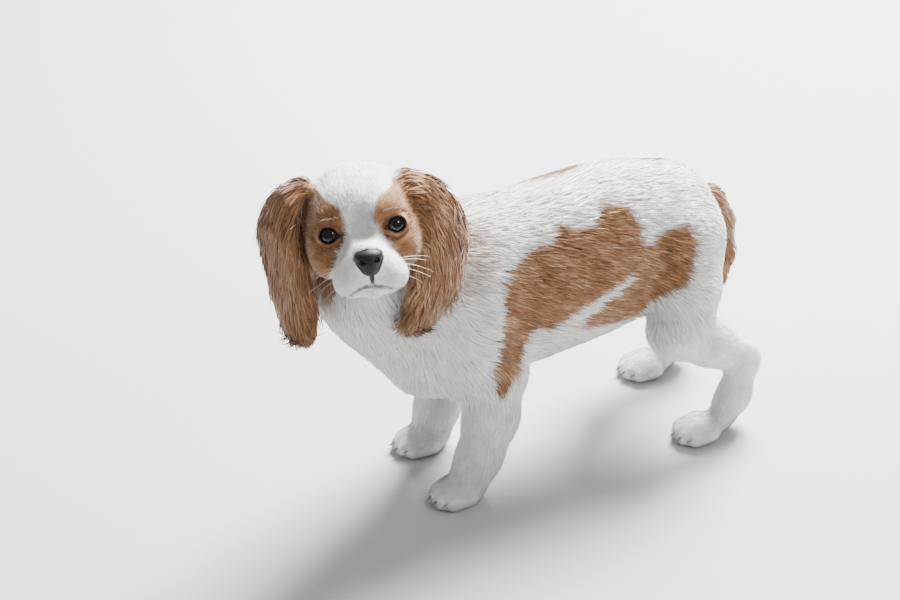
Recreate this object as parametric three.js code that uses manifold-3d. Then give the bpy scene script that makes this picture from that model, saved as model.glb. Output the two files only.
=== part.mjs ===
// A spaniel puppy, standing, life size, in millimetres.
// The dog faces -Y, its left side is +X, and the floor is z = 0.
// One smooth body is worked out as a distance field, skinned with a net of triangles, and parted by thin cuts.
import * as THREE from "three";
import { mergeVertices } from "three/addons/utils/BufferGeometryUtils.js";
import Module from "manifold-3d";

// Driving dimensions
const CUT_GAP = 0.3; // clear space left between neighbouring parts
const CLEARANCE = 0.45; // how far a part is grown before it is cut out of its neighbour
const HEAD_YAW = 68; // degrees that the head is turned to its left
const HEAD_PITCH = 22; // degrees that the muzzle points above level
const HEAD_ROLL = 6.6; // degrees that the left eye stands above the right one
const EYE_MIDPOINT = [45, -185.3, 264];
const EYE_RADIUS = 9.2;
const EYE_SPREAD = 22.4; // from the middle of the face to an eyeball's centre
const EYE_BACK = -2.5; // an eyeball's centre, behind the midpoint between the eyes
const NET = { trunk: 15, leg: 12, paw: 7.8, neck: 13, head: 7.3, ear: 8.5, tail: 8.5, nose: 4 }; // cell sizes

const wasm = await Module();
wasm.setup();

// Vectors are plain arrays of three numbers.
const add = (a, b) => [a[0] + b[0], a[1] + b[1], a[2] + b[2]];
const sub = (a, b) => [a[0] - b[0], a[1] - b[1], a[2] - b[2]];
const scale = (a, k) => [a[0] * k, a[1] * k, a[2] * k];
const dot = (a, b) => a[0] * b[0] + a[1] * b[1] + a[2] * b[2];
const mix = (a, b, t) => add(scale(a, 1 - t), scale(b, t));
const unit = (a) => scale(a, 1 / Math.hypot(...a));
const cross = (a, b) => new THREE.Vector3(...a).cross(new THREE.Vector3(...b)).toArray();
const radians = THREE.MathUtils.degToRad;

// Distance fields: each is a function from a point to a distance, below zero inside.

function smoothUnion(blend, fields) {
  return (p) => {
    let d = fields[0](p);
    for (let i = 1; i < fields.length; i++) {
      const e = fields[i](p);
      const h = Math.max(blend - Math.abs(d - e), 0) / blend;
      d = Math.min(d, e) - h * h * blend * 0.25;
    }
    return d;
  };
}

function smoothCarve(blend, field, hollow) {
  return (p) => {
    const d = field(p);
    const e = -hollow(p);
    const h = Math.max(blend - Math.abs(d - e), 0) / blend;
    return Math.max(d, e) + h * h * blend * 0.25;
  };
}

const grown = (field, amount) => (p) => field(p) - amount;

// A frame turns world directions into the directions of a part of the body and back.
class Frame {
  constructor(side, forward, up, origin = [0, 0, 0]) {
    Object.assign(this, { side, forward, up, origin });
  }
  inward(v) {
    return [dot(v, this.side), dot(v, this.forward), dot(v, this.up)];
  }
  outward(v) {
    return add(add(scale(this.side, v[0]), scale(this.forward, v[1])), scale(this.up, v[2]));
  }
  at(v) {
    return add(this.origin, this.outward(v));
  }
}
const WORLD = new Frame([1, 0, 0], [0, 1, 0], [0, 0, 1]);

// An ellipsoid, with its three half sizes along the axes of frame.
function ellipsoid(centre, half, frame = WORLD) {
  return (p) => {
    const q = frame.inward(sub(p, centre));
    const a = [q[0] / half[0], q[1] / half[1], q[2] / half[2]];
    const b = [a[0] / half[0], a[1] / half[1], a[2] / half[2]];
    const k0 = Math.hypot(...a);
    const k1 = Math.hypot(...b);
    return k1 < 1e-9 ? -Math.min(...half) : (k0 * (k0 - 1)) / k1;
  };
}

// A limb between two joints, round at both ends. thin narrows it across the body.
function limb(a, b, ra, rb, thin = 1) {
  const axis = sub(b, a);
  const length2 = dot(axis, axis);
  return (p) => {
    const raw = sub(p, a);
    const t = Math.min(Math.max(dot(raw, axis) / length2, 0), 1);
    const off = sub(raw, scale(axis, t));
    off[0] /= thin;
    const radius = ra + (rb - ra) * t;
    return (Math.hypot(...off) - radius) * Math.sqrt(thin);
  };
}

// A row of limbs through a list of joints, each { at, r }
function chain(blend, joints, thin = 1) {
  const spans = joints.slice(1).map((to, i) => limb(joints[i].at, to.at, joints[i].r, to.r, thin));
  return smoothUnion(blend, spans);
}

// A net of triangles over the zero level of a field, inside a box, with cells of one size.
function netOver(field, low, high, step) {
  const n = [0, 1, 2].map((k) => Math.ceil((high[k] - low[k]) / step) + 1);
  const at = (i, j, k) => [low[0] + i * step, low[1] + j * step, low[2] + k * step];
  const index = (i, j, k) => (k * n[1] + j) * n[0] + i;
  const onRim = (i, k) => i === 0 || i === n[k] - 1;
  const value = new Float64Array(n[0] * n[1] * n[2]);
  for (let k = 0; k < n[2]; k++)
    for (let j = 0; j < n[1]; j++)
      for (let i = 0; i < n[0]; i++) {
        const d = field(at(i, j, k));
        const rim = onRim(i, 0) || onRim(j, 1) || onRim(k, 2);
        value[index(i, j, k)] = rim ? Math.max(d, step * 0.3) : d || 1e-6;
      }
  const corners = [0, 1, 2, 3, 4, 5, 6, 7].map((c) => [c & 1, (c >> 1) & 1, c >> 2]);
  const edges = [];
  for (let a = 0; a < 8; a++)
    for (const bit of [1, 2, 4]) if (!(a & bit)) edges.push([a, a | bit]);
  const vertexOf = new Map();
  const points = [];
  for (let k = 0; k < n[2] - 1; k++)
    for (let j = 0; j < n[1] - 1; j++)
      for (let i = 0; i < n[0] - 1; i++) {
        const v = corners.map(([x, y, z]) => value[index(i + x, j + y, k + z)]);
        const inside = v.filter((d) => d < 0).length;
        if (inside === 0 || inside === 8) continue;
        let sum = [0, 0, 0];
        let crossings = 0;
        for (const [a, b] of edges) {
          if (v[a] < 0 === v[b] < 0) continue;
          sum = add(sum, mix(corners[a], corners[b], v[a] / (v[a] - v[b])));
          crossings++;
        }
        const cell = add([i, j, k], scale(sum, 1 / crossings));
        vertexOf.set(index(i, j, k), points.length);
        points.push(settle(field, at(...cell), step, low, high));
      }
  const faces = [];
  const steps = [
    [1, 0, 0],
    [0, 1, 0],
    [0, 0, 1],
  ];
  for (let axis = 0; axis < 3; axis++) {
    const first = [0, 1, 2].map((k) => (k === axis ? 0 : 1));
    for (let k = first[2]; k < n[2] - 1; k++)
      for (let j = first[1]; j < n[1] - 1; j++)
        for (let i = first[0]; i < n[0] - 1; i++) faces.push(...quadAcross(i, j, k, axis));
  }
  // The two triangles across one grid edge, where the field changes sign along it.
  function quadAcross(i, j, k, axis) {
    const [dx, dy, dz] = steps[axis];
    const here = value[index(i, j, k)] < 0;
    if (here === value[index(i + dx, j + dy, k + dz)] < 0) return [];
    const u = steps[(axis + 1) % 3];
    const w = steps[(axis + 2) % 3];
    const cell = (a, b) =>
      vertexOf.get(index(i - a * u[0] - b * w[0], j - a * u[1] - b * w[1], k - a * u[2] - b * w[2]));
    let ring = [cell(0, 0), cell(1, 0), cell(1, 1), cell(0, 1)];
    if (!here) ring = ring.reverse();
    const far = (a, b) => Math.hypot(...sub(points[ring[a]], points[ring[b]]));
    return far(0, 2) < far(1, 3)
      ? [ring[0], ring[1], ring[2], ring[0], ring[2], ring[3]]
      : [ring[1], ring[2], ring[3], ring[1], ring[3], ring[0]];
  }
  const geometry = new THREE.BufferGeometry();
  geometry.setAttribute("position", new THREE.Float32BufferAttribute(points.flat(), 3));
  geometry.setIndex(faces);
  return geometry;
}

// Moves a point of the net onto the field's zero level, except at the rim of the box.
function settle(field, start, step, low, high) {
  let p = start;
  for (let turn = 0; turn < 3; turn++) {
    const rim = p.some((c, k) => c < low[k] + step * 1.01 || c > high[k] - step * 1.01);
    if (rim) return start;
    const d = field(p);
    const e = 0.05;
    const slope = [0, 1, 2].map((k) => {
      const ahead = [...p];
      ahead[k] += e;
      return (field(ahead) - d) / e;
    });
    const steep = dot(slope, slope);
    if (steep < 1e-4) break;
    const move = Math.max(Math.min(d / steep, step * 0.3), -step * 0.3);
    p = sub(p, scale(slope, move));
  }
  return p;
}

// three.js geometry to a closed solid, and back to geometry
function solidOf(geometry) {
  const bare = new THREE.BufferGeometry();
  bare.setAttribute("position", geometry.getAttribute("position"));
  if (geometry.index) bare.setIndex(geometry.index);
  const merged = mergeVertices(bare, 1e-4);
  return new wasm.Manifold(
    new wasm.Mesh({
      numProp: 3,
      vertProperties: new Float32Array(merged.getAttribute("position").array),
      triVerts: new Uint32Array(merged.index.array),
    }),
  );
}

function geometryOf(solid) {
  const mesh = solid.getMesh();
  const geometry = new THREE.BufferGeometry();
  geometry.setAttribute("position", new THREE.BufferAttribute(new Float32Array(mesh.vertProperties), 3));
  geometry.setIndex(new THREE.BufferAttribute(new Uint32Array(mesh.triVerts), 1));
  geometry.computeVertexNormals();
  return geometry;
}

const netSolid = (field, box, step) => solidOf(netOver(field, box.low, box.high, step));

// Everything past a plane, as a big box that stands on it. shift moves the plane along its normal.
function past(plane, shift = 0) {
  const size = 500;
  const geometry = new THREE.BoxGeometry(size, size, size);
  geometry.translate(0, 0, size / 2 + shift);
  const normal = new THREE.Vector3(...plane.normal).normalize();
  geometry.applyQuaternion(new THREE.Quaternion().setFromUnitVectors(new THREE.Vector3(0, 0, 1), normal));
  geometry.translate(...plane.at);
  return solidOf(geometry);
}

// Trunk: level stations from breast to rump, each [y, top, bottom, half width]
const STATIONS = [
  [-130, 205, 94, 36],
  [-105, 224, 89, 46],
  [-75, 230, 84, 51],
  [-40, 229, 84, 53],
  [0, 231, 87, 53],
  [35, 232, 90, 50],
  [65, 228, 96, 45],
  [92, 217, 106, 41],
  [114, 204, 118, 36],
];

// A smooth value between stations: slopes are the mean of the neighbours' slopes.
function stationValue(y, column) {
  const last = STATIONS.length - 1;
  const clamped = Math.min(Math.max(y, STATIONS[0][0]), STATIONS[last][0]);
  let i = 0;
  while (i < last - 1 && clamped > STATIONS[i + 1][0]) i++;
  const slope = (k) => {
    const a = STATIONS[Math.max(k - 1, 0)];
    const b = STATIONS[Math.min(k + 1, last)];
    return (b[column] - a[column]) / (b[0] - a[0]);
  };
  const [from, to] = [STATIONS[i], STATIONS[i + 1]];
  const width = to[0] - from[0];
  const t = (clamped - from[0]) / width;
  const s = t * t * (3 - 2 * t);
  const lead = t * (1 - t) * (1 - t) * width;
  const tail = t * t * (t - 1) * width;
  return from[column] * (1 - s) + to[column] * s + slope(i) * lead + slope(i + 1) * tail;
}

function trunkBarrel(p) {
  const top = stationValue(p[1], 1);
  const bottom = stationValue(p[1], 2);
  const wide = stationValue(p[1], 3);
  const tall = (top - bottom) / 2;
  const x = p[0] / wide;
  const z = (p[2] - (top + bottom) / 2) / tall;
  const r = Math.hypot(x, z);
  const across = r < 1e-6 ? -Math.min(wide, tall) : ((r - 1) * r) / Math.hypot(x / wide, z / tall);
  const beyondEnds = Math.max(STATIONS[0][0] - p[1], p[1] - STATIONS[STATIONS.length - 1][0]);
  return Math.max(across, beyondEnds);
}

const breast = limb([0, -147, 168], [0, -108, 124], 40, 43);
const rump = ellipsoid([0, 96, 168], [39, 36, 44]);
const trunk = smoothUnion(20, [trunkBarrel, breast, rump]);

// Neck: it reaches forward and up, and bends to the left under the skull.
const neck = chain(14, [
  { at: [0, -92, 172], r: 54 },
  { at: [0, -126, 183], r: 48 },
  { at: [5, -159, 196], r: 43 },
  { at: [14, -168, 234], r: 35 },
]);

// Leg joints from the body down on the left side, and where the middle of the paw stands
const joint = (x, y, z, r) => ({ at: [x, y, z], r });
const FRONT = {
  joints: [
    joint(33, -100, 150, 35), // shoulder
    joint(39, -78, 104, 27), // elbow
    joint(41, -80, 66, 23), // forearm
    joint(41, -90, 34, 18.5), // wrist
    joint(40, -97, 16, 16.5), // pastern
  ],
  paw: [40, -108],
};
const HIND = {
  joints: [
    joint(28, 94, 164, 31), // hip
    joint(38, 89, 128, 29.5), // thigh
    joint(47, 80, 100, 25), // knee
    joint(50, 108, 80, 19.5), // shin
    joint(52, 139, 56, 14.5), // hock
    joint(55, 130, 28, 13.5), // metatarsus
    joint(57, 120, 13, 12.5), // heel
  ],
  paw: [57, 98],
};
const LEGS = {
  leg_front_left: { build: FRONT, side: 1, shift: [0, 0], thin: 0.8, turn: 4 },
  leg_front_right: { build: FRONT, side: -1, shift: [8, 6], thin: 0.8, turn: -4 },
  leg_hind_left: { build: HIND, side: 1, shift: [0, 0], thin: 0.82, turn: 3 },
  leg_hind_right: { build: HIND, side: -1, shift: [18.5, 9], thin: 0.82, turn: -3 },
};

// A paw: a low pad with four toes side by side, the middle two longest
const TOE_HEIGHT = 5.7;
const TOES = [
  { across: -11.2, ahead: 11, r: 6 },
  { across: -4.1, ahead: 16.5, r: 6.4 },
  { across: 4.1, ahead: 16.5, r: 6.4 },
  { across: 11.2, ahead: 11, r: 6 },
];
function toePlace(leg, toe, extra = 0, height = TOE_HEIGHT) {
  const turn = radians(leg.turn);
  const ahead = toe.ahead + extra;
  return [
    leg.paw[0] + toe.across * Math.cos(turn) + ahead * Math.sin(turn),
    leg.paw[1] + toe.across * Math.sin(turn) - ahead * Math.cos(turn),
    height,
  ];
}
function pawField(leg) {
  const pad = ellipsoid([...leg.paw, 7], [16, 19.5, 8.6]);
  const toes = TOES.map((toe) => limb(toePlace(leg, toe, -15, 7), toePlace(leg, toe), toe.r + 1, toe.r));
  return smoothUnion(5, [pad, smoothUnion(2.5, toes)]);
}

// Each leg is mirrored to its side, and swung below the body by its shift.
for (const leg of Object.values(LEGS)) {
  const { joints, paw } = leg.build;
  leg.joints = joints.map(({ at, r }, i) => {
    const swing = i / (joints.length - 1);
    return { at: [leg.side * at[0] + leg.shift[0] * swing, at[1] + leg.shift[1] * swing, at[2]], r };
  });
  leg.paw = [leg.side * paw[0] + leg.shift[0], paw[1] + leg.shift[1]];
  leg.field = smoothUnion(11, [chain(9, leg.joints, leg.thin), pawField(leg)]);
}

// The head's frame: its left side, forward along the muzzle, and up, from between the eyes.
function headFrame() {
  const yaw = radians(HEAD_YAW);
  const pitch = radians(HEAD_PITCH);
  const roll = radians(HEAD_ROLL);
  const forward = [
    Math.cos(pitch) * Math.sin(yaw),
    -Math.cos(pitch) * Math.cos(yaw),
    Math.sin(pitch),
  ];
  const levelSide = [Math.cos(yaw), Math.sin(yaw), 0];
  const levelUp = cross(forward, levelSide);
  const side = add(scale(levelSide, Math.cos(roll)), scale(levelUp, Math.sin(roll)));
  const up = sub(scale(levelUp, Math.cos(roll)), scale(levelSide, Math.sin(roll)));
  return new Frame(side, forward, up, EYE_MIDPOINT);
}
const HEAD = headFrame();

// Head: places are in its own frame, [side, forward, up] from between the eyes
const headForm = (centre, half) => ellipsoid(HEAD.at(centre), half, HEAD);
const headLimb = (a, b, ra, rb) => limb(HEAD.at(a), HEAD.at(b), ra, rb);
const bothSides = (make) => [make(1), make(-1)];

const skull = headForm([0, -27, 7], [41, 40, 38]);
const forehead = headForm([0, -5, 17], [27, 15, 19]);
const brows = bothSides((s) => headForm([s * 19, 0, 13], [10, 8, 6]));
const cheeks = bothSides((s) => headForm([s * 27, -13, -12], [15, 23, 22]));
const bridge = headLimb([0, 4, -8], [0, 27, -13], 13, 11);
const muzzle = headForm([0, 17, -21], [19.5, 20, 14]);
const flews = bothSides((s) => headForm([s * 13.5, 14, -31], [13.5, 18, 13]));
const jaw = headLimb([0, -10, -30], [0, 20, -37], 17, 9);
const sockets = bothSides((s) => headForm([s * (EYE_SPREAD + 0.5), 9, -0.5], [8.5, 7.5, 7]));
const stopHollow = headForm([0, 19, 6], [9, 12, 10]);
const headMass = smoothUnion(9, [
  smoothUnion(12, [skull, forehead, ...cheeks]),
  smoothUnion(7, [bridge, muzzle, jaw, ...flews]),
  ...brows,
]);
const headShape = smoothCarve(6, smoothCarve(7, headMass, stopHollow), smoothUnion(4, sockets));
const headAndNeck = smoothUnion(10, [headShape, neck]);

// Nose: a rounded wedge, wider above than below
const noseField = smoothUnion(5, [
  headForm([0, 33, -13.5], [9.8, 6.5, 5.5]),
  headForm([0, 34, -19], [6.5, 5.5, 7]),
]);

// The whole skinned body in one field, for the places where parts run into each other
const body = smoothUnion(16, [trunk, neck, ...Object.values(LEGS).map((leg) => leg.field)]);
const bodyAndHead = smoothUnion(10, [body, headShape]);

// Tail: set low on the rump, it hangs straight down close behind the thighs
const tailField = chain(6, [
  { at: [0, 122, 184], r: 11 },
  { at: [-1, 134, 174], r: 12.5 },
  { at: [-2, 145, 152], r: 11.5 },
  { at: [-3, 150, 122], r: 10 },
  { at: [-3, 148, 98], r: 7 },
]);

// Ears: long flaps that hang beside the cheeks. Each row of a path is [side, forward, up, half width].
const EARS = {
  ear_left: {
    path: [
      [33, -22, 27, 10],
      [45, -22, 18, 15],
      [53, -26, 0, 21],
      [53, -28, -25, 26],
      [44, -28, -52, 26],
      [30, -34, -76, 17],
    ],
    broad: [0.8, -0.6, 0.1],
  },
  ear_right: {
    path: [
      [-34, -22, 32, 10],
      [-47, -22, 26, 15],
      [-57, -27, 6, 21],
      [-55, -34, -22, 26],
      [-54, -40, -48, 25],
      [-54, -45, -70, 16],
    ],
    broad: [-0.55, -0.83, 0.1],
  },
};
const EAR_HALF_THICKNESS = 8;

// A flap along a path in the head's frame, with an oval section
function flap({ path, broad }) {
  const points = path.map((row) => HEAD.at(row));
  const across = HEAD.outward(unit(broad));
  const spans = points.slice(1).map((to, i) => {
    const along = unit(sub(to, points[i]));
    const wideAxis = unit(sub(across, scale(along, dot(across, along))));
    return { from: points[i], to, along, wideAxis, thickAxis: cross(along, wideAxis), i };
  });
  return (p) => {
    let best = Infinity;
    for (const { from, to, along, wideAxis, thickAxis, i } of spans) {
      const axis = sub(to, from);
      const t = Math.min(Math.max(dot(sub(p, from), axis) / dot(axis, axis), 0), 1);
      const off = sub(p, mix(from, to, t));
      const wide = path[i][3] * (1 - t) + path[i + 1][3] * t;
      const q = [dot(off, wideAxis) / wide, dot(off, thickAxis) / EAR_HALF_THICKNESS];
      q.push(dot(off, along) / EAR_HALF_THICKNESS);
      best = Math.min(best, (Math.hypot(...q) - 1) * EAR_HALF_THICKNESS);
    }
    return best;
  };
}

// Parting planes: each cuts through the whole body, square to its normal
const NAPE_PLANE = { at: [12, -165, 220], normal: [0.2, -0.46, 0.86] };
const COLLAR_PLANE = { at: [0, -122, 186], normal: [0, -0.86, 0.5] };
const FLOOR_PLANE = { at: [0, 0, 0], normal: [0, 0, 1] };
const PAW_TOP = 26; // the finer net of the paw ends at this height

// The space of a leg: a tall oval from below the floor to the top of the shoulder or thigh, on its own side only
const LEG_SPACE = {
  front: { centre: [42, -92, 10], half: [46, 64, 130] },
  hind: { centre: [48, 108, 20], half: [50, 72, 150] },
};
function legSpace(leg, margin) {
  const { centre, half } = leg.build === FRONT ? LEG_SPACE.front : LEG_SPACE.hind;
  const geometry = new THREE.SphereGeometry(1, 12, 8);
  geometry.rotateX(Math.PI / 2);
  geometry.scale(...half.map((h) => h + margin));
  geometry.translate(leg.side * centre[0] + leg.shift[0] / 2, centre[1] + leg.shift[1] / 2, centre[2]);
  const ownSide = { at: [0, 0, 0], normal: [leg.side, 0, 0] };
  return solidOf(geometry).intersect(past(ownSide, -margin));
}

// The biggest body of a solid, without the crumbs that a cut can leave
const largest = (solid) => solid.decompose().sort((a, b) => b.volume() - a.volume())[0];

// Materials
const material = (colour, roughness, metalness = 0) =>
  new THREE.MeshStandardMaterial({ color: colour, roughness, metalness });
const WHITE_COAT = material("#ece9e4", 0.85);
const CHESTNUT_COAT = material("#9a5a2e", 0.8);
const NOSE_LEATHER = material("#1c1718", 0.35);
const EYE_GLOSS = material("#1a0f0a", 0.08);
const CLAW_HORN = material("#4a3f3a", 0.45);

const dog = new THREE.Group();
function place(name, solid, look) {
  const mesh = new THREE.Mesh(geometryOf(largest(solid)), look);
  mesh.name = name;
  dog.add(mesh);
}

// Head, with room for the eyeballs and the nose
const HEAD_BOX = { low: [-48, -250, 160], high: [105, -105, 325] };
const NOSE_BOX = { low: [58, -222, 228], high: [96, -174, 272] };
const head = netSolid(headAndNeck, HEAD_BOX, NET.head);
const headSpace = netSolid(grown(headAndNeck, CLEARANCE), HEAD_BOX, NET.head);
const nose = netSolid(noseField, NOSE_BOX, NET.nose);
const noseSpace = netSolid(grown(noseField, CLEARANCE), NOSE_BOX, NET.nose);

function eyeball(side, radius) {
  const geometry = new THREE.SphereGeometry(radius, 12, 8);
  geometry.translate(...HEAD.at([side * EYE_SPREAD, EYE_BACK, 0]));
  return solidOf(geometry);
}
const eyeSpaces = bothSides((side) => eyeball(side, EYE_RADIUS + CLEARANCE));
const headCut = head
  .intersect(past(NAPE_PLANE, CUT_GAP / 2))
  .subtract(noseSpace)
  .subtract(eyeSpaces[0])
  .subtract(eyeSpaces[1]);
place("head", headCut, WHITE_COAT);
place("nose", nose, NOSE_LEATHER);
place("eye_left", eyeball(1, EYE_RADIUS), EYE_GLOSS);
place("eye_right", eyeball(-1, EYE_RADIUS), EYE_GLOSS);

// Neck and trunk
const NECK_BOX = { low: [-75, -235, 100], high: [75, -50, 275] };
const TRUNK_BOX = { low: [-78, -190, 40], high: [78, 165, 262] };
const neckCut = netSolid(bodyAndHead, NECK_BOX, NET.neck)
  .subtract(past(NAPE_PLANE, -CUT_GAP / 2))
  .intersect(past(COLLAR_PLANE, CUT_GAP / 2));
place("neck", neckCut, WHITE_COAT);

let trunkCut = netSolid(body, TRUNK_BOX, NET.trunk).subtract(past(COLLAR_PLANE, -CUT_GAP / 2));
for (const leg of Object.values(LEGS)) trunkCut = trunkCut.subtract(legSpace(leg, CUT_GAP / 2));
place("trunk", trunkCut, WHITE_COAT);

// Claws: short cones on the toes, pointing forward and a little down
const CLAW = { radius: 1.7, length: 7.5, sides: 5, sunk: 2.6, height: 6.4, dip: 0.5 };
function claw(leg, toe, extra) {
  const geometry = new THREE.ConeGeometry(CLAW.radius + extra, CLAW.length + 2 * extra, CLAW.sides);
  geometry.translate(0, CLAW.length / 2, 0);
  const turn = radians(leg.turn);
  const ahead = unit([Math.sin(turn), -Math.cos(turn), -CLAW.dip]);
  const aim = new THREE.Quaternion().setFromUnitVectors(new THREE.Vector3(0, 1, 0), new THREE.Vector3(...ahead));
  geometry.applyQuaternion(aim);
  geometry.translate(...toePlace(leg, toe, toe.r - CLAW.sunk, CLAW.height));
  return solidOf(geometry);
}

// Legs: a fine net on the paw, a wider one above it, joined where they meet
const LEG_BOX = { front: [-150, -30], hind: [35, 178], inner: -6, width: 98, bottom: -10, top: 205, lap: 20 };
for (const [name, leg] of Object.entries(LEGS)) {
  const front = leg.build === FRONT;
  const [fore, aft] = front ? LEG_BOX.front : LEG_BOX.hind;
  const left = leg.side > 0 ? LEG_BOX.inner : -LEG_BOX.inner - LEG_BOX.width;
  const low = [left, fore, LEG_BOX.bottom];
  const high = [left + LEG_BOX.width, aft, LEG_BOX.top];
  const shank = netSolid(body, { low: [left, fore, PAW_TOP - LEG_BOX.lap], high }, NET.leg);
  const paw = netSolid(leg.field, { low, high: [high[0], aft, PAW_TOP + LEG_BOX.lap] }, NET.paw);
  const lift = { at: [0, 0, PAW_TOP], normal: [0, 0, 1] };
  let solid = shank.intersect(past(lift, -0.5)).add(paw.subtract(past(lift)));
  solid = solid.intersect(past(FLOOR_PLANE)).intersect(legSpace(leg, -CUT_GAP / 2));
  TOES.forEach((toe, i) => {
    solid = solid.subtract(claw(leg, toe, CLEARANCE));
    place(`claw_${name.slice(4)}_${i + 1}`, claw(leg, toe, 0), CLAW_HORN);
  });
  place(name, solid, WHITE_COAT);
}

// Tail and ears, cut clear of the body behind them
const TAIL_BOX = { low: [-24, 90, 78], high: [24, 176, 222] };
const bodySpace = netSolid(grown(body, CLEARANCE), TRUNK_BOX, NET.trunk);
const tail = netSolid(smoothCarve(1, tailField, grown(body, 1)), TAIL_BOX, NET.tail);
place("tail", tail.subtract(bodySpace), CHESTNUT_COAT);

for (const [name, ear] of Object.entries(EARS)) {
  const field = smoothCarve(1, flap(ear), grown(bodyAndHead, 1));
  const places = ear.path.map((spot) => HEAD.at(spot));
  const low = [0, 1, 2].map((k) => Math.min(...places.map((spot) => spot[k])) - 34);
  const high = [0, 1, 2].map((k) => Math.max(...places.map((spot) => spot[k])) + 34);
  place(name, netSolid(field, { low, high }, NET.ear).subtract(headSpace).subtract(bodySpace), CHESTNUT_COAT);
}

// The origin is on the floor, under the middle of the whole animal.
const whole = new THREE.Box3().setFromObject(dog);
const middle = whole.getCenter(new THREE.Vector3());
dog.position.set(-middle.x, -middle.y, -whole.min.z);

export default dog;
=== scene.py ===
"""Visual model of a standing spaniel puppy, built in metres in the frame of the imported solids.

The forms of the solids are repeated here as distance fields in millimetres, in a frame where the dog
faces -Y with its left side at +X. One skin is settled inside them at the depth of the coat, and the
coat is laid over that skin in thin closed tufts that follow the lie of the hair.
"""

import logging
import math
from dataclasses import dataclass, field
from enum import Enum
from typing import Any, Callable, Sequence

import bpy
import numpy as np
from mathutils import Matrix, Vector

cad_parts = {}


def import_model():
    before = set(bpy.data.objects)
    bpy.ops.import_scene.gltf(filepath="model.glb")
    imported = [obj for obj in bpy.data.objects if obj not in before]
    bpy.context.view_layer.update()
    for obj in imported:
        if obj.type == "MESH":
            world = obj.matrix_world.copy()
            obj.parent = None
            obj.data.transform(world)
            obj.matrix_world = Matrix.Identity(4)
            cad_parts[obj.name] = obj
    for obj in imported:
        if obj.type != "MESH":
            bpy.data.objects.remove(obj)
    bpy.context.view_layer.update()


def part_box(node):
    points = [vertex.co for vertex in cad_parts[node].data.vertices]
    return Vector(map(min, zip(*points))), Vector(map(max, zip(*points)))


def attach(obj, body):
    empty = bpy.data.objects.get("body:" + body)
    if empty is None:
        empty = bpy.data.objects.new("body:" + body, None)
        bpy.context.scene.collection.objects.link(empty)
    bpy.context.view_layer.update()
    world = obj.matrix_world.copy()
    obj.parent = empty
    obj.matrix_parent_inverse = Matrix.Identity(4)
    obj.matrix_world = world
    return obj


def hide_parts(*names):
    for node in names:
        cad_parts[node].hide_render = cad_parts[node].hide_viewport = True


LOG = logging.getLogger("spaniel")
MM = 0.001
BODY = "root"
CORE = 1e-6  # keeps a division away from zero
Field = Callable[[np.ndarray], np.ndarray]
Colour = tuple[float, float, float, float]


# Distance fields


def lengths(v: np.ndarray) -> np.ndarray:
    """Length of each row of v."""
    return np.sqrt(np.einsum("ij,ij->i", v, v))


def unit(v: Sequence[float]) -> np.ndarray:
    """One vector made one long."""
    a = np.asarray(v, float)
    return a / np.linalg.norm(a)


def units(v: np.ndarray) -> np.ndarray:
    """Each row of v made one long."""
    return v / np.maximum(lengths(v), 1e-9)[:, None]


def ramp(low: float, high: float, value: np.ndarray) -> np.ndarray:
    """A smooth step from 0 at low to 1 at high."""
    t = np.clip((value - low) / (high - low), 0, 1)
    return t * t * (3 - 2 * t)


def melt(d: np.ndarray, e: np.ndarray, blend: float) -> np.ndarray:
    """Two distances joined with a rounded seam."""
    h = np.maximum(blend - np.abs(d - e), 0) / blend
    return np.minimum(d, e) - h * h * blend * 0.25


def carve(d: np.ndarray, hollow: np.ndarray, blend: float) -> np.ndarray:
    """A distance with a hollow cut out of it, with a rounded edge.

    Args:
        d: The distance to the form.
        hollow: The distance to the hollow.
        blend: Width of the rounded edge.

    Returns:
        The distance to what is left.
    """
    e = -hollow
    h = np.maximum(blend - np.abs(d - e), 0) / blend
    return np.maximum(d, e) + h * h * blend * 0.25


def joined(blend: float, forms: Sequence[Field]) -> Field:
    """One field of several forms melted together in turn.

    Args:
        blend: Width of the rounded seams.
        forms: The fields.

    Returns:
        Their joined field.
    """

    def distance(p: np.ndarray) -> np.ndarray:
        """The distance of each point."""
        d = forms[0](p)
        for form in forms[1:]:
            d = melt(d, form(p), blend)
        return d

    return distance


def ellipsoid(centre: Sequence[float], half: Sequence[float]) -> Field:
    """An ellipsoid along the axes, from its centre and half sizes.

    Args:
        centre: Its middle.
        half: Its half sizes.

    Returns:
        Its field.
    """
    c, h = np.asarray(centre, float), np.asarray(half, float)

    def distance(p: np.ndarray) -> np.ndarray:
        """The distance of each point."""
        a = (p - c) / h
        k0 = lengths(a)
        return k0 * (k0 - 1) / (lengths(a / h) + 1e-9)

    return distance


def pair(centre: Sequence[float], half: Sequence[float]) -> list[Field]:
    """The left and the right of two mirrored ellipsoids."""
    x, y, z = centre
    return [ellipsoid((side * x, y, z), half) for side in (1, -1)]


def limb(a: Sequence[float], b: Sequence[float], ra: float, rb: float, thin: float = 1.0) -> Field:
    """A limb round at both ends, narrowed across the body by thin.

    Args:
        a: Centre of the first end.
        b: Centre of the second end.
        ra: Radius of the first end.
        rb: Radius of the second end.
        thin: Its width across the body as a share of its depth.

    Returns:
        Its field.
    """
    start, axis = np.asarray(a, float), np.asarray(b, float) - np.asarray(a, float)

    def distance(p: np.ndarray) -> np.ndarray:
        """The distance of each point."""
        raw = p - start
        t = np.clip(raw @ axis / (axis @ axis), 0, 1)
        off = raw - t[:, None] * axis
        off[:, 0] /= thin
        return (lengths(off) - (ra + (rb - ra) * t)) * math.sqrt(thin)

    return distance


def chain(blend: float, joints: Sequence[Sequence[float]], thin: float = 1.0) -> Field:
    """Limbs through joints, each [x, y, z, radius]."""
    return joined(blend, [limb(a[:3], b[:3], a[3], b[3], thin) for a, b in zip(joints, joints[1:])])


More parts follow.
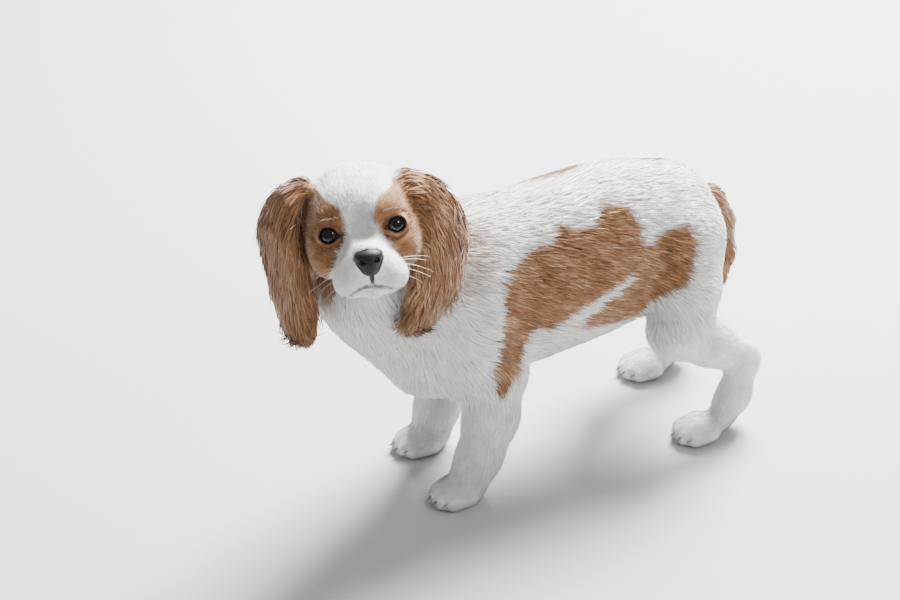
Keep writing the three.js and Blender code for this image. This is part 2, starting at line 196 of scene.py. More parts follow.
def near(low: Sequence[float], high: Sequence[float], form: Field, reach: float = 34.0) -> Field:
    """A field that is worked out only near its box, and is about the distance to the box elsewhere.

    Args:
        low: Lowest corner of the box.
        high: Highest corner.
        form: The field.
        reach: How far from the box the field is still worked out.

    Returns:
        The quicker field.
    """
    lo, hi = np.asarray(low, float), np.asarray(high, float)

    def distance(p: np.ndarray) -> np.ndarray:
        """The distance of each point."""
        d = lengths(np.maximum(np.maximum(lo - p, p - hi), 0)) + 1.0
        close = d < reach
        if close.any():
            d[close] = form(p[close])
        return d

    return distance


def slope(form: Field, p: np.ndarray, e: float = 0.25) -> tuple[np.ndarray, np.ndarray]:
    """A field and its gradient.

    Args:
        form: The distance field.
        p: Points, one a row.
        e: Step of the differences.

    Returns:
        The distances, and the gradient at each point.
    """
    d = form(p)
    g = np.stack([(form(p + e * axis) - d) / e for axis in np.eye(3)], axis=1)
    return d, g


def mottle(p: np.ndarray, size: float, seed: int) -> np.ndarray:
    """Smooth noise from -1 to 1 with features of about one size, the same on every run.

    Args:
        p: Points, one a row.
        size: Size of the features.
        seed: A number that picks the noise.

    Returns:
        The noise at each point.
    """
    q = p / size + seed * 17.31
    cell = np.floor(q).astype(np.int64)
    t = q - cell
    t = t * t * (3 - 2 * t)
    total = np.zeros(len(p))
    for dx in (0, 1):
        for dy in (0, 1):
            for dz in (0, 1):
                c = cell + np.array([dx, dy, dz])
                h = (c[:, 0] * 73856093) ^ (c[:, 1] * 19349663) ^ (c[:, 2] * 83492791) ^ (seed * 2654435761)
                h = (h ^ (h >> 13)) * 1274126177 & 0xFFFFFFFF
                value = (h ^ (h >> 16)) % 65536 / 32767.5 - 1
                w = np.abs(1 - dx - t[:, 0]) * np.abs(1 - dy - t[:, 1]) * np.abs(1 - dz - t[:, 2])
                total += value * w
    return total


# The puppy's forms


@dataclass(frozen=True)
class HeadFrame:
    """The head's own axes, from the point between the eyes."""

    yaw: float = 68.0
    pitch: float = 22.0
    roll: float = 6.6
    origin: tuple[float, float, float] = (45.0, -185.3, 264.0)

    def axes(self) -> np.ndarray:
        """Rows side (the dog's left), forward along the muzzle, and up.

        Returns:
            The three axes as rows.
        """
        yaw, pitch, roll = (math.radians(a) for a in (self.yaw, self.pitch, self.roll))
        forward = np.array(
            [math.cos(pitch) * math.sin(yaw), -math.cos(pitch) * math.cos(yaw), math.sin(pitch)]
        )
        level = np.array([math.cos(yaw), math.sin(yaw), 0.0])
        high = np.cross(forward, level)
        side = level * math.cos(roll) + high * math.sin(roll)
        up = high * math.cos(roll) - level * math.sin(roll)
        return np.array([side, forward, up])

    def inward(self, p: np.ndarray) -> np.ndarray:
        """Points of the dog, in the head's frame."""
        return (p - np.array(self.origin)) @ self.axes().T

    def outward(self, v: np.ndarray) -> np.ndarray:
        """Directions of the head's frame, in the dog's."""
        return np.asarray(v, float) @ self.axes()

    def at(self, v: Sequence[float]) -> np.ndarray:
        """A place in the head's frame, in the dog's."""
        return np.array(self.origin) + self.outward(np.asarray(v, float))


class Part(Enum):
    """The parts whose hair lies in ways of its own."""

    TRUNK = 0
    NECK = 1
    HEAD = 2
    FRONT_LEFT = 3
    FRONT_RIGHT = 4
    HIND_LEFT = 5
    HIND_RIGHT = 6
    TAIL = 7
    EAR_LEFT = 8
    EAR_RIGHT = 9


@dataclass(frozen=True)
class Leg:
    """One leg: joints on the left side, mirrored to its side and swung below the body."""

    joints: tuple[tuple[float, float, float, float], ...]
    paw: tuple[float, float]
    side: int
    shift: tuple[float, float]
    thin: float
    turn: float

    def placed(self) -> np.ndarray:
        """The joints in their places, each [x, y, z, radius].

        Returns:
            One row for each joint.
        """
        j = np.array(self.joints)
        swing = np.linspace(0, 1, len(j))
        j[:, 0] = self.side * j[:, 0] + self.shift[0] * swing
        j[:, 1] += self.shift[1] * swing
        return j

    def toe(self, across: float, ahead: float, height: float = 5.7) -> np.ndarray:
        """A place on the paw, from its middle.

        Args:
            across: To the side.
            ahead: Forward.
            height: Above the floor.

        Returns:
            The place in the dog's frame.
        """
        t = math.radians(self.turn)
        x = self.side * self.paw[0] + self.shift[0] + across * math.cos(t) + ahead * math.sin(t)
        y = self.paw[1] + self.shift[1] + across * math.sin(t) - ahead * math.cos(t)
        return np.array([x, y, height])

    def ahead(self) -> np.ndarray:
        """The way the paw points."""
        t = math.radians(self.turn)
        return np.array([math.sin(t), -math.cos(t), 0.0])


# Each toe: across, ahead and radius
TOES = ((-11.2, 11.0, 6.0), (-4.1, 16.5, 6.4), (4.1, 16.5, 6.4), (11.2, 11.0, 6.0))


EarPaths = dict[Part, tuple[tuple[tuple[float, ...], ...], tuple[float, ...]]]


def ear_paths() -> EarPaths:
    """The path of each ear in the head's frame, with half widths, and the way of its wide side."""
    left = (
        (33, -22, 27, 10),
        (45, -22, 18, 15),
        (53, -26, 0, 21),
        (53, -28, -25, 26),
        (44, -28, -52, 26),
        (30, -34, -76, 17),
    )
    right = (
        (-34, -22, 32, 10),
        (-47, -22, 26, 15),
        (-57, -27, 6, 21),
        (-55, -34, -22, 26),
        (-54, -40, -48, 25),
        (-54, -45, -70, 16),
    )
    return {Part.EAR_LEFT: (left, (0.8, -0.6, 0.1)), Part.EAR_RIGHT: (right, (-0.55, -0.83, 0.1))}


@dataclass
class Forms:
    """Every form of the solids as a distance field, in millimetres."""

    head: HeadFrame = field(default_factory=HeadFrame)
    eye_radius: float = 9.2
    eye_spread: float = 22.4
    eye_back: float = -2.5
    # The trunk: place along the body, top, bottom and half width
    stations: tuple[tuple[float, ...], ...] = (
        (-130, 205, 94, 36),
        (-105, 224, 89, 46),
        (-75, 230, 84, 51),
        (-40, 229, 84, 53),
        (0, 231, 87, 53),
        (35, 232, 90, 50),
        (65, 228, 96, 45),
        (92, 217, 106, 41),
        (114, 204, 118, 36),
    )
    # The neck and the tail: place and radius of each joint
    neck_joints: tuple[tuple[float, ...], ...] = (
        (0, -92, 172, 54),
        (0, -126, 183, 48),
        (5, -159, 196, 43),
        (14, -168, 234, 35),
    )
    tail_joints: tuple[tuple[float, ...], ...] = (
        (0, 122, 184, 11),
        (-1, 134, 174, 12.5),
        (-2, 145, 152, 11.5),
        (-3, 150, 122, 10),
        (-3, 148, 98, 7),
    )
    ear_half_thickness: float = 8.0
    web_radii: tuple[float, float] = (6.0, 5.5)
    web_blend: float = 5.0
    leg_margin: float = 36.0
    ear_margin: float = 27.0
    ears: EarPaths = field(default_factory=ear_paths)

    def __post_init__(self) -> None:
        """Places the legs and makes the field of every part."""
        front = (
            (33, -100, 150, 35),
            (39, -78, 104, 27),
            (41, -80, 66, 23),
            (41, -90, 34, 18.5),
            (40, -97, 16, 16.5),
        )
        hind = (
            (28, 94, 164, 31),
            (38, 89, 128, 29.5),
            (47, 80, 100, 25),
            (50, 108, 80, 19.5),
            (52, 139, 56, 14.5),
            (55, 130, 28, 13.5),
            (57, 120, 13, 12.5),
        )
        self.legs = {
            Part.FRONT_LEFT: Leg(front, (40, -108), 1, (0, 0), 0.8, 4),
            Part.FRONT_RIGHT: Leg(front, (40, -108), -1, (8, 6), 0.8, -4),
            Part.HIND_LEFT: Leg(hind, (57, 98), 1, (0, 0), 0.82, 3),
            Part.HIND_RIGHT: Leg(hind, (57, 98), -1, (18.5, 9), 0.82, -3),
        }
        breast = limb((0, -147, 168), (0, -108, 124), 40, 43)
        rump = ellipsoid((0, 96, 168), (39, 36, 44))
        self.fields: dict[Part, Field] = {
            Part.TRUNK: joined(20, [self.barrel, breast, rump]),
            Part.NECK: near((-55, -212, 118), (62, -38, 270), chain(14, self.neck_joints)),
            Part.HEAD: near((-28, -252, 195), (112, -112, 326), self.head_field),
            Part.TAIL: near((-17, 110, 90), (13, 163, 196), chain(6, self.tail_joints)),
        }
        for part, leg in self.legs.items():
            j = leg.placed()
            low = j[:, :3].min(0) - self.leg_margin
            high = j[:, :3].max(0) + self.leg_margin
            self.fields[part] = near(low, high, self.leg_field(leg))
        for part in self.ears:
            path = np.array(self.ears[part][0])[:, :3]
            bends = self.head.at(path)
            low = bends.min(0) - self.ear_margin
            high = bends.max(0) + self.ear_margin
            self.fields[part] = near(low, high, self.flap(part))

    def station(self, y: np.ndarray, column: int) -> np.ndarray:
        """A smooth value between the trunk's stations.

        Args:
            y: Places along the trunk.
            column: Which of the stations' values.

        Returns:
            The value at each place.
        """
        s = np.array(self.stations)
        at, value = s[:, 0], s[:, column]
        c = np.clip(y, at[0], at[-1])
        i = np.clip(np.searchsorted(at, c, side="left") - 1, 0, len(s) - 2)
        lean = np.array(
            [
                (value[min(k + 1, len(s) - 1)] - value[max(k - 1, 0)])
                / (at[min(k + 1, len(s) - 1)] - at[max(k - 1, 0)])
                for k in range(len(s))
            ]
        )
        width = at[i + 1] - at[i]
        t = (c - at[i]) / width
        rise = t * t * (3 - 2 * t)
        curve = lean[i] * t * (1 - t) ** 2 * width + lean[i + 1] * t * t * (t - 1) * width
        return value[i] * (1 - rise) + value[i + 1] * rise + curve

    def barrel(self, p: np.ndarray) -> np.ndarray:
        """The trunk between its stations.

        Args:
            p: Points, one a row.

        Returns:
            The distance of each point, below zero inside.
        """
        top, bottom, wide = (self.station(p[:, 1], c) for c in (1, 2, 3))
        tall = (top - bottom) / 2
        x, z = p[:, 0] / wide, (p[:, 2] - (top + bottom) / 2) / tall
        r = np.hypot(x, z)
        across = (r - 1) * r / (np.hypot(x / wide, z / tall) + CORE)
        ends = np.maximum(self.stations[0][0] - p[:, 1], p[:, 1] - self.stations[-1][0])
        return np.maximum(across, ends)

    def leg_field(self, leg: Leg) -> Field:
        """A leg with its paw and four toes.

        Args:
            leg: The leg.

        Returns:
            Its field.
        """
        pad = ellipsoid((*leg.toe(0, 0)[:2], 7), (16, 19.5, 8.6))
        toes = [
            limb(leg.toe(across, ahead - 15, 7), leg.toe(across, ahead), r + 1, r)
            for across, ahead, r in TOES
        ]
        paw = joined(5, [pad, joined(2.5, toes)])
        shank = chain(9, leg.placed(), leg.thin)
        return joined(11, [shank, near((-90, -170, 0), (90, 130, 26), paw)])

    def head_field(self, p: np.ndarray) -> np.ndarray:
        """The head with its eye sockets, without eyes, nose or ears.

        Args:
            p: Points, one a row.

        Returns:
            The distance of each point, below zero inside.
        """
        q = self.head.inward(p)
        skull = joined(
            12,
            [
                ellipsoid((0, -27, 7), (41, 40, 38)),
                ellipsoid((0, -5, 17), (27, 15, 19)),
                *pair((27, -13, -12), (15, 23, 22)),
            ],
        )
        muzzle = joined(
            7,
            [
                limb((0, 4, -8), (0, 27, -13), 13, 11),
                ellipsoid((0, 17, -21), (19.5, 20, 14)),
                limb((0, -10, -30), (0, 20, -37), 17, 9),
                *pair((13.5, 14, -31), (13.5, 18, 13)),
            ],
        )
        brows = pair((19, 0, 13), (10, 8, 6))
        d = joined(9, [skull, muzzle, *brows])(q)
        d = carve(d, ellipsoid((0, 19, 6), (9, 12, 10))(q), 7)
        sockets = pair((self.eye_spread + 0.5, 9, -0.5), (8.5, 7.5, 7))
        return carve(d, joined(4, sockets)(q), 6)

    def spans(self, part: Part) -> list[tuple[np.ndarray, ...]]:
        """The lengths of an ear: from, to, along, wide axis, thin axis, half widths.

        Args:
            part: Which ear.

        Returns:
            One tuple for each length.
        """
        path, broad = self.ears[part]
        rows = np.array(path)
        across = unit(broad)
        out = []
        for a, b in zip(rows, rows[1:]):
            along = unit(b[:3] - a[:3])
            wide = unit(across - along * (across @ along))
            out.append((a[:3], b[:3], along, wide, np.cross(along, wide), np.array([a[3], b[3]])))
        return out

    def flap(self, part: Part) -> Field:
        """An ear: a flap along a path, with an oval section.

        Args:
            part: Which ear.

        Returns:
            Its field, with the web of skin behind the cheek.
        """
        spans = self.spans(part)
        thick = self.ear_half_thickness
        side = 1 if part is Part.EAR_LEFT else -1
        web = limb((side * 39, -21, 20), (side * 41.5, -22, -20), *self.web_radii)

        def distance(p: np.ndarray) -> np.ndarray:
            """The distance of each point."""
            q = self.head.inward(p)
            best = np.full(len(q), 1e9)
            for a, b, along, wide, thin, half in spans:
                axis = b - a
                t = np.clip((q - a) @ axis / (axis @ axis), 0, 1)
                off = q - a - t[:, None] * axis
                w = half[0] * (1 - t) + half[1] * t
                x, y, z = off @ wide, off @ thin, off @ along
                r = np.sqrt((x / w) ** 2 + (y * y + z * z) / thick**2)
                lean = np.sqrt((x / w**2) ** 2 + (y * y + z * z) / thick**4)
                best = np.minimum(best, r * (r - 1) / (lean + CORE))
            return melt(best, web(q), self.web_blend)

        return distance

    def parts(self, p: np.ndarray) -> np.ndarray:
        """The distance to every part, one column for each Part."""
        return np.stack([self.fields[part](p) for part in Part], axis=1)

    def nose_field(self, q: np.ndarray) -> np.ndarray:
        """The nose, in the head's frame, with its nostrils and the groove below.

        Args:
            q: Points in the head's frame.

        Returns:
            The distance of each point, below zero inside.
        """
        tip = ellipsoid((0, 33, -13.5), (9.8, 6.5, 5.5))
        bridge = ellipsoid((0, 34, -19), (6.5, 5.5, 7))
        d = joined(5, [tip, bridge])(q)
        for s in (1, -1):
            nostril = limb((s * 4.3, 40.2, -15.8), (s * 4.9, 38.0, -15.6), 1.7, 1.9)(q)
            slit = limb((s * 5.4, 39.4, -16.2), (s * 9.2, 36.6, -15.0), 1.0, 0.5)(q)
            d = carve(d, melt(nostril, slit, 1.0), 0.9)
        return carve(d, limb((0, 40.6, -16.5), (0, 40.2, -26), 0.55, 0.7)(q), 0.9)


def whole(parts: np.ndarray) -> np.ndarray:
    """The distance to the whole animal from the distances to its parts.

    Args:
        parts: What Forms.parts gave.

    Returns:
        The distance of each point.
    """
    d = parts[:, Part.TRUNK.value]
    for part in (Part.NECK, Part.FRONT_LEFT, Part.FRONT_RIGHT, Part.HIND_LEFT, Part.HIND_RIGHT):
        d = melt(d, parts[:, part.value], 16)
    d = melt(d, parts[:, Part.HEAD.value], 10)
    for part, blend in ((Part.TAIL, 3), (Part.EAR_LEFT, 7), (Part.EAR_RIGHT, 7)):
        d = melt(d, parts[:, part.value], blend)
    return d


def shares(parts: np.ndarray, width: float = 4.0) -> np.ndarray:
    """How much each part has of a point, adding up to 1."""
    w = np.exp(-np.clip(parts - parts.min(1)[:, None], 0, 80) / width)
    return w / w.sum(1)[:, None]


# Nets of quads over a field

NET_MARGIN = 1.35  # coarse cells on each side of the surface that are looked at closely
NET_BATCH = 150000  # points that are worked out at once

def lattice(shape: Sequence[int], step: float) -> np.ndarray:
    """The points of a box of cells, one a row."""
    axes = (np.arange(count) * step for count in shape)
    return np.stack(np.meshgrid(*axes, indexing="ij"), -1).reshape(-1, 3)


def net(
    form: Field, low: Sequence[float], high: Sequence[float], step: float, coarse: int = 4
) -> tuple[np.ndarray, np.ndarray]:
    """A net of quads over the zero level of a field.

    Args:
        form: The distance field.
        low: Lowest corner of the box that is searched.
        high: Highest corner.
        step: Size of the cells.
        coarse: How many cells apart the first, rough look is.

    Returns:
        The net's points, and its faces as rows of four point numbers.
    """
    lo = np.asarray(low, float)
    n = (np.ceil((np.asarray(high, float) - lo) / (step * coarse)).astype(int)) * coarse + 1
    rough = (n - 1) // coarse + 1
    value = form(lattice(rough, step * coarse) + lo).reshape(rough)
    for axis in range(3):
        value = np.repeat(value, coarse, axis)
    half = coarse // 2
    value = np.pad(value, [(half, half)] * 3, "edge")[
        tuple(slice(coarse, coarse + k) for k in n)
    ].copy()
    flat = value.reshape(-1)
    close = np.flatnonzero(np.abs(flat) < step * coarse * NET_MARGIN)
    where = np.stack(np.unravel_index(close, n), -1) * step + lo
    for batch in np.array_split(np.arange(len(close)), max(len(close) // NET_BATCH, 1)):
        flat[close[batch]] = form(where[batch])
    value = flat.reshape(n)
    value[value == 0] = CORE
    cells = n - 1
    corner = [(i, j, k) for i in (0, 1) for j in (0, 1) for k in (0, 1)]

    def at_corner(c: Sequence[int]) -> np.ndarray:
        """The field at one corner of every cell."""
        return value[tuple(slice(c[a], c[a] + cells[a]) for a in range(3))]

    total = np.zeros((*cells, 3))
    count = np.zeros(cells)
    for a in corner:
        for axis in range(3):
            if a[axis]:
                continue
            b = tuple(a[k] + (k == axis) for k in range(3))
            va, vb = at_corner(a), at_corner(b)
            cross = (va < 0) != (vb < 0)
            t = np.where(cross, va / np.where(cross, va - vb, 1), 0)
            for k in range(3):
                total[..., k] += cross * (a[k] + (t if k == axis else 0))
            count += cross
    used = count > 0
    number = np.full(cells, -1)
    number[used] = np.arange(used.sum())
    places = np.argwhere(used) + total[used] / count[used][:, None]
    faces = []
    for axis in range(3):
        u, w = (axis + 1) % 3, (axis + 2) % 3
        here = [slice(1, cells[k]) for k in range(3)]
        here[axis] = slice(0, cells[axis])
        ahead = list(here)
        ahead[axis] = slice(1, n[axis])
        inside = value[tuple(here)] < 0
        change = inside != (value[tuple(ahead)] < 0)
        spots = np.argwhere(change) + [0 if k == axis else 1 for k in range(3)]

        def cell(back_u: int, back_w: int) -> np.ndarray:
            """The numbers of the cells beside each crossing."""
            s = spots.copy()
            s[:, u] -= back_u
            s[:, w] -= back_w
            return number[tuple(s.T)]

        quads = np.stack([cell(0, 0), cell(1, 0), cell(1, 1), cell(0, 1)], 1)
        turn = ~inside[change]
        quads[turn] = quads[turn][:, ::-1]
        faces.append(quads)
    return places * step + lo, np.concatenate(faces)


def settle(form: Field, p: np.ndarray, links: np.ndarray, turns: int, reach: float) -> np.ndarray:
    """Moves the points of a net onto the zero level of a field, and evens them out along it.

    Args:
        form: The distance field.
        p: The points.
        links: Pairs of points that share an edge.
        turns: How many rounds of moves.
        reach: The furthest that a point moves in a round.

    Returns:
        The moved points.
    """
    p = p.copy()
    degree = np.bincount(links.reshape(-1), minlength=len(p))
    for turn in range(turns):
        d, g = slope(form, p)
        steep = np.maximum(np.einsum("ij,ij->i", g, g), 0.2)
        p -= g * np.clip(d / steep, -reach, reach)[:, None]
        if turn < turns - 2:
            mean = np.stack(
                [
                    np.bincount(links[:, 0], p[links[:, 1], k], len(p))
                    + np.bincount(links[:, 1], p[links[:, 0], k], len(p))
                    for k in range(3)
                ],
                1,
            ) / np.maximum(degree, 1)[:, None]
            normal = units(g)
            move = mean - p
            p += 0.5 * (move - normal * np.einsum("ij,ij->i", move, normal)[:, None])
    return p


# Markings of the coat


@dataclass
class Markings:
    """Where the coat is chestnut on white, as a value from 0 to 1 at each point."""

    forms: Forms
    # The white blaze: heights on the face, and half its width at each
    blaze_height: tuple[float, ...] = (-60, -45, -36, -30, -18, -12, -3, 3, 9, 15, 19, 24, 32, 45, 70)
    blaze_half: tuple[float, ...] = (60, 42, 33, 27, 20, 16.5, 11, 9.5, 10.5, 12.5, 17, 23, 27, 27, 24)
    # The patches of the left and the right flank: place along the body and height
    flank: tuple[tuple[float, float], ...] = (
        (-76, 191),
        (-63, 200),
        (-31, 204),
        (-18, 211),
        (2, 206),
        (22, 217),
        (40, 210),
        (43, 201),
        (49, 183),
        (58, 185),
        (75, 188),
        (88, 187),
        (91, 173),
        (85, 152),
        (69, 136),
        (56, 130),
        (49, 112),
        (1, 125),
        (-13, 134),
        (38, 160),
        (34, 165),
        (0, 151),
        (-34, 138),
        (-49, 144),
        (-57, 125),
        (-76, 100),
        (-85, 125),
        (-81, 156),
    )
    far_flank: tuple[tuple[float, float], ...] = (
        (-60, 180),
        (-38, 208),
        (-8, 224),
        (22, 227),
        (34, 208),
        (52, 200),
        (64, 216),
        (94, 224),
        (104, 196),
        (84, 160),
        (48, 150),
        (22, 166),
        (-2, 140),
        (-40, 146),
    )
    drift: tuple[float, float] = (8.0, -2.5)  # how far the patches lie from where they are drawn
    nape_at: tuple[float, float, float] = (44, -103, 212)
    nape_half: tuple[float, float, float] = (26, 22, 20)
    nape_strength: float = 0.5
    croup_at: tuple[float, float, float] = (0, 132, 178)
    croup_half: tuple[float, float, float] = (17, 22, 24)

    def polygon(self, corners: Sequence[tuple[float, float]], y: np.ndarray, z: np.ndarray) -> np.ndarray:
        """Distance to a polygon drawn on the flank, below zero inside.

        Args:
            corners: The polygon's corners.
            y: Places along the body.
            z: Heights.

        Returns:
            The distance of each place.
        """
        q = np.stack([y, z], 1)
        c = np.array(corners, float)
        best = np.full(len(q), 1e9)
        inside = np.zeros(len(q), bool)
        for a, b in zip(c, np.roll(c, -1, 0)):
            axis = b - a
            t = np.clip((q - a) @ axis / (axis @ axis), 0, 1)
            best = np.minimum(best, lengths(q - a - t[:, None] * axis))
            level = (a[1] > q[:, 1]) != (b[1] > q[:, 1])
            at = a[0] + (q[:, 1] - a[1]) * axis[0] / np.where(level, axis[1], 1)
            inside ^= level & (q[:, 0] < at)
        return np.where(inside, -best, best)

    def chestnut(self, p: np.ndarray) -> np.ndarray:
        """How chestnut each point is.

        Args:
            p: Points, one a row.

        Returns:
            0 for white to 1 for chestnut, one value for each point.
        """
        ragged = 2.2 * mottle(p, 7.0, 3) + 1.2 * mottle(p, 2.8, 4)
        share = shares(self.forms.parts(p), 2.5)
        q = self.forms.head.inward(p)
        across = np.abs(q[:, 0] + 0.105 * q[:, 1])
        height = 0.98 * q[:, 2] - 0.19 * np.minimum(q[:, 1], 30)
        blaze = np.interp(height, self.blaze_height, self.blaze_half)
        face = ramp(-1.6, 1.6, across - blaze + 0.5 * ragged)
        face *= ramp(-66, -48, q[:, 2] + 0.35 * q[:, 1] + 1.5 * ragged)
        y, z = p[:, 1] + self.drift[0], p[:, 2] + self.drift[1]
        left = ramp(2.2, -2.2, self.polygon(self.flank, y, z) + ragged)
        left *= ramp(0, 12, p[:, 0])
        right = ramp(2.5, -2.5, self.polygon(self.far_flank, y, z) + ragged)
        right *= ramp(4, 10, -p[:, 0] + ragged)
        nape = ellipsoid(self.nape_at, self.nape_half)(p)
        nape = self.nape_strength * ramp(3, -7, nape + 1.5 * ragged) * ramp(10, 20, p[:, 0])
        croup = ramp(2, -2, ellipsoid(self.croup_at, self.croup_half)(p) + ragged)
        body = np.maximum.reduce([left, right, nape, croup])
        behind = np.maximum(body, face * ramp(-70, -35, q[:, 2]) * 0.9)
        head, neck = share[:, Part.HEAD.value], share[:, Part.NECK.value]
        brown = share[:, [Part.EAR_LEFT.value, Part.EAR_RIGHT.value, Part.TAIL.value]].sum(1)
        return np.clip(brown + head * face + neck * behind + (1 - brown - head - neck) * body, 0, 1)


# Shader maths and finishes


class Wire:
    """One socket of a finish's node tree, on which sums are written as Python expressions."""

    def __init__(self, finish: "Bench", socket: Any) -> None:
        """Holds a socket and the tree it belongs to."""
        self.finish = finish
        self.socket = socket

    def sum(self, operation: str, *values: Any) -> "Wire":
        """A Math node on this wire or on values."""
        return self.finish.add("ShaderNodeMath", {"operation": operation}, dict(enumerate(values)))

    def __add__(self, other: Any) -> "Wire":
        """self + other"""
        return self.sum("ADD", self, other)

    def __radd__(self, other: Any) -> "Wire":
        """other + self"""
        return self.sum("ADD", other, self)

    def __sub__(self, other: Any) -> "Wire":
        """self - other"""
        return self.sum("SUBTRACT", self, other)

    def __rsub__(self, other: Any) -> "Wire":
        """other - self"""
        return self.sum("SUBTRACT", other, self)

    def __mul__(self, other: Any) -> "Wire":
        """self * other"""
        return self.sum("MULTIPLY", self, other)

    def __rmul__(self, other: Any) -> "Wire":
        """other * self"""
        return self.sum("MULTIPLY", other, self)

    def clamped(self, low: float, high: float) -> "Wire":
        """0 at low, 1 at high, and even between them.

        Args:
            low: The value that gives 0.
            high: The value that gives 1.

        Returns:
            The wire of the result.
        """
        values = {0: self, 1: low, 2: high, 3: 0.0, 4: 1.0}
        return self.finish.add("ShaderNodeMapRange", {"interpolation_type": "SMOOTHSTEP"}, values)


class Bench:
    """A material's node tree, on which every finish is put together."""

    def __init__(self, name: str) -> None:
        """Starts a material with an empty tree.

        Args:
            name: The material's name.
        """
        self.material = bpy.data.materials.new(name)
        self.material.use_nodes = True
        self.tree = self.material.node_tree
        self.tree.nodes.clear()
        self.output = self.tree.nodes.new("ShaderNodeOutputMaterial")

    def add(self, kind: str, settings: dict[str, Any], sockets: dict[Any, Any], out: Any = 0) -> Wire:
        """Adds a node.

        Args:
            kind: The node's type.
            settings: Its settings, which are set first.
            sockets: Values or wires for its inputs, by name or number.
            out: The output that is returned, by name or number.

        Returns:
            The wire of that output.
        """
        node = self.tree.nodes.new(kind)
        for key, value in settings.items():
            setattr(node, key, value)
        for key, value in sockets.items():
            if isinstance(value, Wire):
                self.tree.links.new(value.socket, node.inputs[key])
            else:
                node.inputs[key].default_value = value
        return Wire(self, node.outputs[out])

    def place(self) -> Wire:
        """Object coordinates."""
        return self.add("ShaderNodeTexCoord", {}, {}, "Object")

    def grain(self, scale: float, detail: float = 3.0, rough: float = 0.55) -> Wire:
        """Noise in Object coordinates."""
        values = {"Vector": self.place(), "Scale": scale, "Detail": detail, "Roughness": rough}
        return self.add("ShaderNodeTexNoise", {}, values, 0)

    def worn(self, name: str) -> Wire:
        """A number that the mesh carries at each point."""
        return self.add("ShaderNodeAttribute", {"attribute_name": name}, {}, "Fac")

    def blend(self, a: Any, b: Any, share: Any) -> Wire:
        """One colour or wire turning into another."""
        return self.add("ShaderNodeMix", {"data_type": "RGBA"}, {0: share, 6: a, 7: b}, 2)

    def bump(self, height: Wire, strength: float, distance: float) -> Wire:
        """A normal from a height."""
        values = {"Height": height, "Strength": strength, "Distance": distance}
        return self.add("ShaderNodeBump", {}, values, 0)

    def finish(self, sockets: dict[str, Any]) -> bpy.types.Material:
        """Ends the tree with a Principled shader.

        Args:
            sockets: Values or wires for the shader's inputs, by name.

        Returns:
            The material.
        """
        shader = self.add("ShaderNodeBsdfPrincipled", {}, sockets)
        self.tree.links.new(shader.socket, self.output.inputs["Surface"])
        return self.material


@dataclass(frozen=True)
class CoatFinish:
    """White and chestnut hair, from the marks that the mesh carries, with painted shade that darkens each
    tuft towards its root.
    """

    white_deep: Colour = (0.62, 0.60, 0.575, 1)
    white_light: Colour = (0.90, 0.89, 0.875, 1)
    chestnut_deep: Colour = (0.085, 0.038, 0.017, 1)
    chestnut_mid: Colour = (0.265, 0.122, 0.050, 1)
    chestnut_light: Colour = (0.58, 0.345, 0.20, 1)
    rim: Colour = (0.022, 0.015, 0.013, 1)
    bare: Colour = (0.52, 0.30, 0.25, 1)

    def colour(self, bench: Bench) -> Wire:
        """The coat's colour before lids and lips.

        Args:
            bench: The tree it is built in.

        Returns:
            The wire of the colour.
        """
        # The "shade" mark is a tone that varies at random; on the tufts it also carries painted shade,
        # darker towards each root.
        shade = bench.worn("shade")
        patchy = bench.grain(55.0)
        tone = (shade * 0.75 + patchy * 0.5) - 0.12
        white = bench.blend(self.white_deep, self.white_light, tone.clamped(0.0, 0.75))
        dark = bench.blend(self.chestnut_deep, self.chestnut_mid, tone.clamped(-0.05, 0.5))
        brown = bench.blend(dark, self.chestnut_light, tone.clamped(0.45, 1.05))
        return bench.blend(white, brown, bench.worn("chestnut"))

    def hair(self) -> bpy.types.Material:
        """The finish of the tufts.

        Returns:
            The material.
        """
        bench = Bench("coat_hair")
        return bench.finish(
            {
                "Base Color": self.colour(bench),
                "Roughness": 0.72,
                "Specular IOR Level": 0.22,
                "Sheen Weight": 0.25,
                "Sheen Roughness": 0.45,
            }
        )

    def skin(self) -> bpy.types.Material:
        """The finish of the skin under the tufts, with dark lids and lips.

        Returns:
            The material.
        """
        bench = Bench("coat_skin")
        colour = bench.blend(self.colour(bench), self.bare, bench.worn("bare"))
        dark = bench.worn("rim")
        fine = bench.grain(1400.0, 2.0)
        return bench.finish(
            {
                "Base Color": bench.blend(colour, self.rim, dark),
                "Roughness": 0.8 - dark * 0.42,
                "Specular IOR Level": 0.3,
                "Normal": bench.bump(fine, 0.35, 0.0004),
            }
        )


@dataclass(frozen=True)
class NoseFinish:
    """Dark, moist, pebbled nose leather."""

    dark: Colour = (0.005, 0.0045, 0.005, 1)
    light: Colour = (0.018, 0.016, 0.017, 1)
    pebble_scale: float = 1150.0

    def material(self) -> bpy.types.Material:
        """Builds the finish.

        Returns:
            The material.
        """
        bench = Bench("nose_leather")
        values = {"Vector": bench.place(), "Scale": self.pebble_scale}
        pebbles = bench.add("ShaderNodeTexVoronoi", {"feature": "F1"}, values, "Distance")
        grain = bench.grain(240.0)
        return bench.finish(
            {
                "Base Color": bench.blend(self.dark, self.light, grain.clamped(0.35, 0.75)),
                "Roughness": 0.36 + pebbles * 0.24,
                "Specular IOR Level": 0.3,
                "Normal": bench.bump(1 - pebbles, 0.5, 0.0003),
            }
        )


